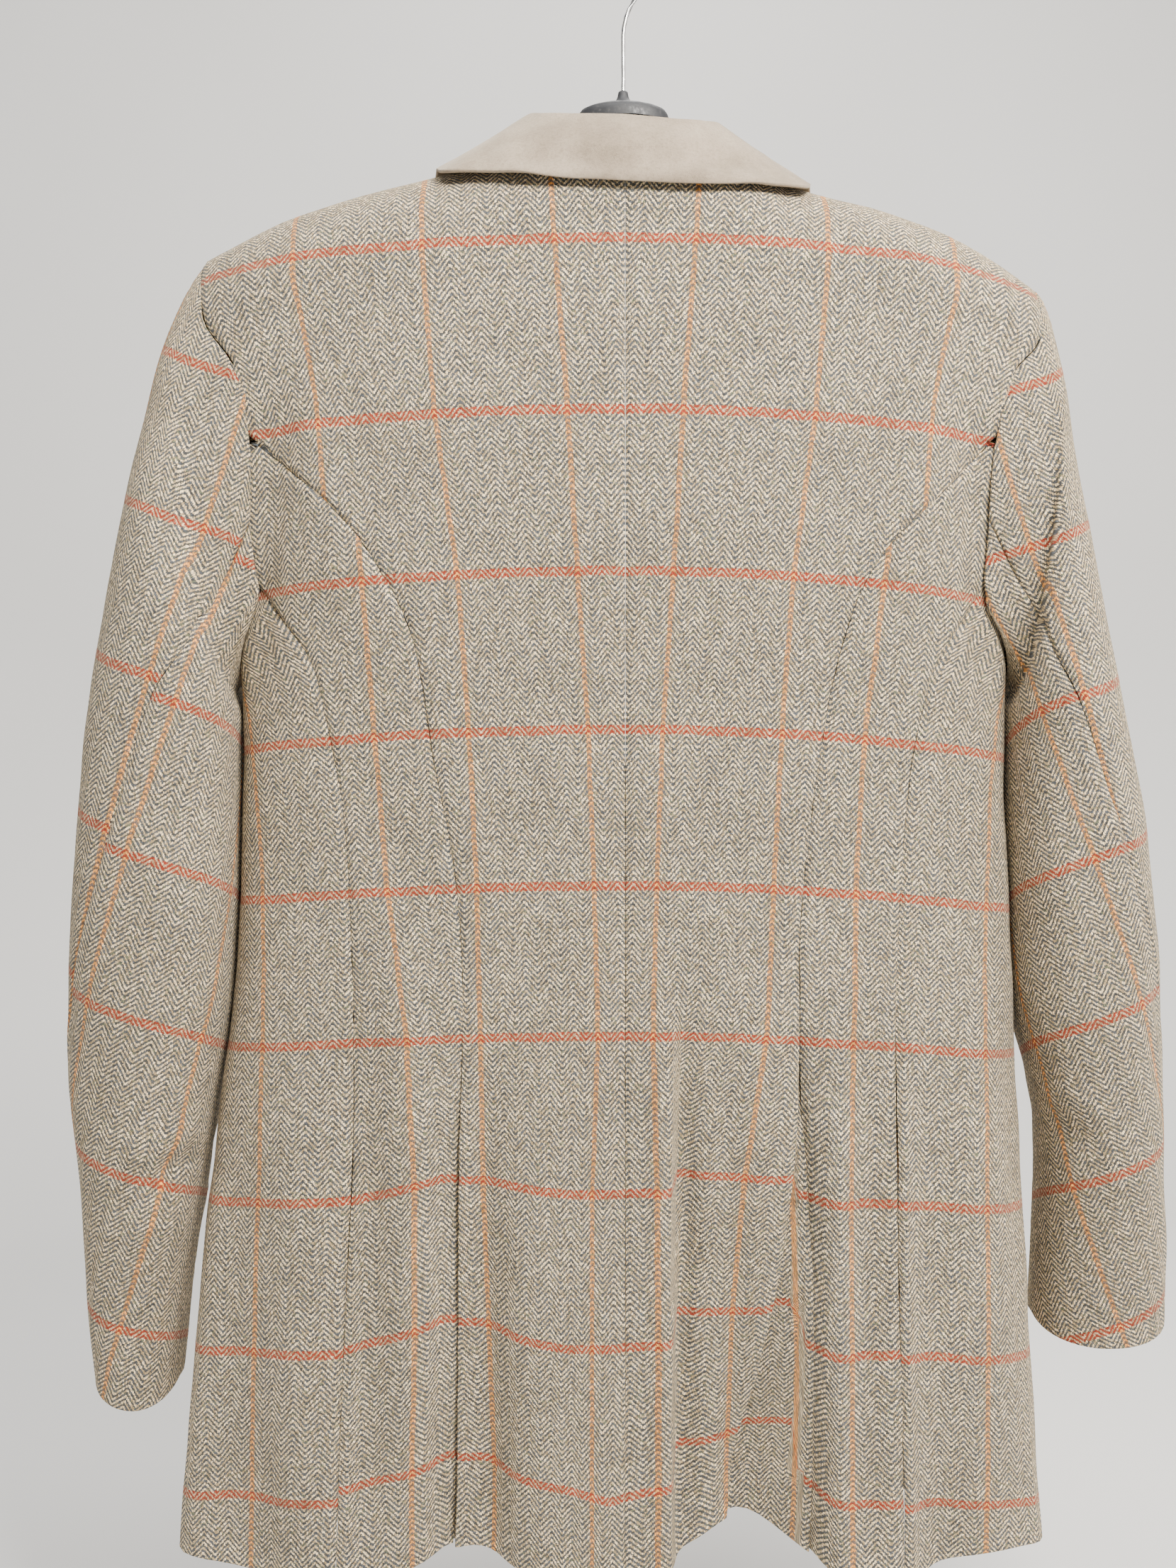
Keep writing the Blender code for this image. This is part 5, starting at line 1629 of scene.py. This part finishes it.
def tweed_group():
    """Colour and yarn height of the herringbone with its check, from the cloth map; the colour
    carries painted shade, darker in the hollows between yarns and lighter on their crowns.
    """
    tree, _, result = new_group("tweed_weave", (
        ("Colour", "NodeSocketColor"), ("Height", "NodeSocketFloat"),
    ))
    map_node = tree.nodes.new("ShaderNodeUVMap")
    map_node.uv_map = "cloth"
    split = tree.nodes.new("ShaderNodeSeparateXYZ")
    tree.links.new(map_node.outputs[0], split.inputs[0])
    across = Value(tree, split.outputs[0])
    up = Value(tree, split.outputs[1])
    plain = map_node.outputs[0]
    crossed = combine(tree, up, across, 3.0)
    wander = (noise(tree, plain, 45.0, 2.0) - 0.5) * 0.0016
    wander_up = (noise(tree, crossed, 45.0, 2.0) - 0.5) * 0.0016
    jitter = (noise(tree, plain, 900.0, 2.0) - 0.5) * YARN_JITTER
    jitter_up = (noise(tree, crossed, 900.0, 2.0) - 0.5) * YARN_JITTER
    end = (across + wander + jitter) * (ENDS / CHECK_WIDE)
    pick = (up + wander_up + jitter_up) * (PICKS / CHECK_HIGH)
    folded = end.math("PINGPONG", COLUMN_ENDS)
    end_share = folded.fraction()
    pick_share = pick.fraction()
    diagonal = pick.floor() + folded.floor()
    twill = diagonal.wrapped(TWILL)
    warp_up = twill.below(TWILL / 2)
    warp_rise = end_share.arch() * ((twill + pick_share) / 2.0).arch()
    weft_rise = pick_share.arch() * ((twill - 2.0 + end_share) / 2.0).arch()
    height = weft_rise * 0.85 + (warp_rise - weft_rise * 0.85) * warp_up

    step = (diagonal / TWILL).floor()
    warp_tone = random_value(tree, combine(tree, end.floor(), step, 1.0))
    weft_tone = random_value(tree, combine(tree, pick.floor(), step, (end / 10.0).floor()))
    warp_slub = noise(tree, combine(tree, end.floor() * 7.3, pick * 0.13, 1.0), 1.0, 2.0)
    weft_slub = noise(tree, combine(tree, end * 0.13, pick.floor() * 7.3, 2.0), 1.0, 2.0)
    warp = mix_colour(tree, warp_tone.spread(0.15, 1.0), CREAM, CREAM_WARM)
    weft = mix_colour(tree, weft_tone.spread(0.1, 0.9), DARK_WEFT, BLUE_WEFT)
    weft = mix_colour(tree, weft_slub.spread(0.56, 0.70), weft, GREEN_FLECK)

    line_at = end.wrapped(ENDS)
    line_near = line_at.least((line_at * -1.0) + ENDS)
    on_line = line_near.below(LINE_ENDS)
    stripe_at = pick.wrapped(PICKS)
    stripe_near = stripe_at.least((stripe_at * -1.0) + PICKS)
    on_stripe = stripe_near.below(STRIPE_PICKS)
    warp = mix_colour(tree, on_stripe * 0.38, warp, RUST)
    weft = mix_colour(tree, on_line * 0.10, weft, ORANGE)
    warp = mix_colour(tree, on_line, warp, ORANGE)
    weft = mix_colour(tree, on_stripe, weft, RUST)
    colour = mix_colour(tree, warp_up, weft, warp)

    hair = noise(tree, plain, 1500.0, 3.0, 0.7)
    # Painted shade: yarn height darkens the colour to 0.42 in the hollows between yarns and lifts
    # it to 1.12 on their crowns; the hair, slub, cloud and uneven terms vary the yarns' own tone.
    painted_shade_and_yarn_tone = height.spread(0.0, 0.9, 0.42, 1.12) * hair.spread(0.25, 0.75, 0.70, 1.28)
    slub = (warp_slub - weft_slub).spread(-0.3, 0.3, 0.80, 1.20)
    uneven = (warp_tone * warp_up + weft_tone * 0.5).spread(0.0, 1.2, 1.18, 0.62)
    cloud = noise(tree, plain, 26.0, 3.0, 0.6).spread(0.25, 0.75, 0.93, 1.07)
    painted_shade_and_yarn_tone = painted_shade_and_yarn_tone * slub * cloud * uneven
    painted_shade_and_yarn_tone_colour = combine(tree, painted_shade_and_yarn_tone, painted_shade_and_yarn_tone, painted_shade_and_yarn_tone)
    colour = mix_colour(tree, 1.0, colour, painted_shade_and_yarn_tone_colour, "MULTIPLY")
    fuzz = noise(tree, plain, 700.0, 4.0, 0.75)
    colour = mix_colour(tree, fuzz.spread(0.54, 0.80, 0.0, 0.40), colour, FUZZ_LIGHT)
    colour = mix_colour(tree, fuzz.spread(0.46, 0.24, 0.0, 0.45), colour, FUZZ_DARK)
    tree.links.new(colour, result.inputs["Colour"])
    tree.links.new((height + hair * 0.5).socket, result.inputs["Height"])
    return tree


def shader_material(name, roughness=0.9, sheen=0.0, metallic=0.0, sheen_tint=(1, 1, 1)):
    material = bpy.data.materials.new(name)
    material.use_nodes = True
    tree = material.node_tree
    shader = tree.nodes["Principled BSDF"]
    shader.inputs["Roughness"].default_value = roughness
    shader.inputs["Metallic"].default_value = metallic
    shader.inputs["Sheen Weight"].default_value = sheen
    shader.inputs["Sheen Roughness"].default_value = 0.55
    shader.inputs["Sheen Tint"].default_value = (*sheen_tint, 1.0)
    return material, tree, shader


def add_bump(tree, shader, height, strength, distance):
    bump = tree.nodes.new("ShaderNodeBump")
    bump.inputs["Strength"].default_value = strength
    bump.inputs["Distance"].default_value = distance
    tree.links.new(height, bump.inputs["Height"])
    tree.links.new(bump.outputs[0], shader.inputs["Normal"])


def tweed_material(group, name="tweed"):
    material, tree, shader = shader_material(name, 0.95, 0.12, 0.0, (0.90, 0.86, 0.78))
    node = tree.nodes.new("ShaderNodeGroup")
    node.node_tree = group
    shader.inputs["Specular IOR Level"].default_value = 0.15
    tree.links.new(node.outputs["Colour"], shader.inputs["Base Color"])
    add_bump(tree, shader, node.outputs["Height"], 0.55, 0.00030)
    return material


def object_position(tree):
    node = tree.nodes.new("ShaderNodeTexCoord")
    return node.outputs["Object"]


SUEDE_WORN = (0.235, 0.185, 0.132)
SUEDE_LIGHT = (0.390, 0.316, 0.236)
SUEDE_DARK = (0.150, 0.115, 0.080)
SUEDE_PALE = (0.520, 0.440, 0.345)


def suede_material():
    material, tree, shader = shader_material("suede", 0.92, 0.35, 0.0, (0.95, 0.88, 0.76))
    shader.inputs["Specular IOR Level"].default_value = 0.10
    place = object_position(tree)
    mottle = noise(tree, place, 42.0, 4.0, 0.62)
    nap = noise(tree, place, 700.0, 4.0, 0.75)
    fine = noise(tree, place, 2400.0, 2.0, 0.6)
    colour = mix_colour(tree, mottle.spread(0.20, 0.80), SUEDE_WORN, SUEDE_LIGHT)
    colour = mix_colour(tree, nap.spread(0.42, 0.75, 0.0, 0.55), colour, SUEDE_DARK)
    colour = mix_colour(tree, fine.spread(0.50, 0.80, 0.0, 0.40), colour, SUEDE_PALE)
    tree.links.new(colour, shader.inputs["Base Color"])
    add_bump(tree, shader, (nap + fine * 0.6).socket, 0.8, 0.00034)
    return material


def horn_material():
    material, tree, shader = shader_material("horn", 0.32)
    place = object_position(tree)
    streak = noise(tree, place, 260.0, 5.0, 0.65)
    colour = mix_colour(tree, streak.spread(0.38, 0.66), (0.030, 0.016, 0.009),
                        (0.190, 0.105, 0.050))
    tree.links.new(colour, shader.inputs["Base Color"])
    rough = noise(tree, place, 900.0, 3.0).spread(0.3, 0.7, 0.24, 0.42)
    tree.links.new(rough.socket, shader.inputs["Roughness"])
    return material


def thread_material():
    material, tree, shader = shader_material("thread", 0.7)
    twist = noise(tree, object_position(tree), 3000.0, 2.0)
    colour = mix_colour(tree, twist.spread(0.3, 0.7), (0.060, 0.050, 0.035), (0.140, 0.120, 0.085))
    tree.links.new(colour, shader.inputs["Base Color"])
    return material


def steel_material():
    material, tree, shader = shader_material("steel_wire", 0.25, 0.0, 1.0)
    place = object_position(tree)
    wear = noise(tree, place, 300.0, 4.0, 0.6)
    colour = mix_colour(tree, wear.spread(0.35, 0.70), (0.600, 0.600, 0.590),
                        (0.430, 0.425, 0.410))
    tree.links.new(colour, shader.inputs["Base Color"])
    tree.links.new(wear.spread(0.3, 0.7, 0.20, 0.40).socket, shader.inputs["Roughness"])
    add_bump(tree, shader, noise(tree, place, 1800.0, 2.0).socket, 0.1, 0.00005)
    return material


def plastic_material():
    material, tree, shader = shader_material("black_plastic", 0.5)
    place = object_position(tree)
    dust = noise(tree, place, 420.0, 5.0, 0.75)
    grain = noise(tree, place, 1600.0, 2.0)
    colour = mix_colour(tree, dust.spread(0.50, 0.80, 0.0, 0.7), (0.022, 0.023, 0.026),
                        (0.105, 0.103, 0.100))
    tree.links.new(colour, shader.inputs["Base Color"])
    tree.links.new(dust.spread(0.3, 0.7, 0.42, 0.72).socket, shader.inputs["Roughness"])
    add_bump(tree, shader, grain.socket, 0.25, 0.00012)
    return material


def floor_material():
    material, tree, shader = shader_material("studio_floor", 0.85)
    soft = noise(tree, object_position(tree), 1.5, 2.0)
    colour = mix_colour(tree, soft.spread(0.3, 0.7), (0.700, 0.690, 0.670), (0.730, 0.722, 0.705))
    tree.links.new(colour, shader.inputs["Base Color"])
    return material


# ---------------------------------------------------------------- floor, lights, camera
FLOOR_HEIGHT = -1.000
CAMERA_PLACE = (-0.0188, -0.8500, -0.4660)
CAMERA_LENS = 36.4


def build_stage():
    """A pale floor that curves up into a pale wall on the far side."""
    radius = 0.8
    front = -4.0
    back = 1.9
    profile = [(front, FLOOR_HEIGHT), (back - radius, FLOOR_HEIGHT)]
    for angle in np.radians(np.linspace(0.0, 90.0, 24))[1:]:
        y = back - radius + radius * math.sin(angle)
        profile.append((y, FLOOR_HEIGHT + radius * (1 - math.cos(angle))))
    profile.append((back, 3.5))
    work = bmesh.new()
    lines = []
    for x in (-5.0, 5.0):
        lines.append([work.verts.new((x, y, z)) for y, z in profile])
    for step in range(len(profile) - 1):
        work.faces.new((lines[0][step], lines[1][step], lines[1][step + 1], lines[0][step + 1]))
    mesh = bpy.data.meshes.new("studio_floor")
    work.to_mesh(mesh)
    work.free()
    mesh.shade_smooth()
    mesh.materials.append(floor_material())
    floor = bpy.data.objects.new("studio_floor", mesh)
    bpy.context.scene.collection.objects.link(floor)


def add_light(name, place, aim, size, power, colour):
    lamp = bpy.data.lights.new(name, "AREA")
    lamp.shape = "RECTANGLE"
    lamp.size, lamp.size_y = size
    lamp.energy = power
    lamp.color = colour
    light = bpy.data.objects.new(name, lamp)
    light.location = place
    way = Vector(aim) - Vector(place)
    light.rotation_euler = way.to_track_quat("-Z", "Y").to_euler()
    bpy.context.scene.collection.objects.link(light)


def build_lights():
    add_light("key", (0.55, -1.10, 0.55), (0.0, 0.0, -0.08), (0.6, 0.5), 70.0, (1.0, 0.955, 0.89))
    add_light("side_left", (-1.7, -0.5, 0.1), (0.0, 0.0, -0.4), (0.8, 1.4), 8.0, (1.0, 0.97, 0.93))
    add_light("side_right", (1.8, -0.4, 0.2), (0.0, 0.0, -0.4), (0.8, 1.4), 16.0, (1.0, 0.97, 0.94))
    add_light("front_of_wearer", (0.3, 1.0, 1.7), (0.0, 0.0, -0.5), (1.0, 0.8), 30.0,
              (1.0, 0.98, 0.95))
    add_light("backdrop", (0.0, -1.2, 3.6), (0.0, 1.9, -0.6), (4.0, 1.0), 150.0, (1.0, 0.99, 0.97))
    world = bpy.data.worlds.new("studio")
    world.use_nodes = True
    background = world.node_tree.nodes["Background"]
    background.inputs["Color"].default_value = (0.90, 0.94, 1.0, 1.0)
    background.inputs["Strength"].default_value = 0.26
    bpy.context.scene.world = world


def build_camera():
    data = bpy.data.cameras.new("camera")
    data.sensor_fit = "AUTO"
    data.sensor_width = 36.0
    data.lens = CAMERA_LENS
    data.clip_start = 0.01
    camera = bpy.data.objects.new("camera", data)
    camera.location = CAMERA_PLACE
    camera.rotation_euler = (math.radians(90), 0.0, 0.0)
    bpy.context.scene.collection.objects.link(camera)
    bpy.context.scene.camera = camera


# ---------------------------------------------------------------- the whole scene
def build_all():
    tweed = tweed_material(tweed_group())
    for side, label in ((-1, "left"), (1, "right")):
        build_body(side, label, tweed)
        build_laid(side, label, tweed)
        build_sleeve(side, label, tweed)
    build_collar(suede_material())
    build_buttons(horn_material(), thread_material())
    build_hanger(steel_material(), plastic_material())
    build_stage()
    build_lights()
    build_camera()


build_all()
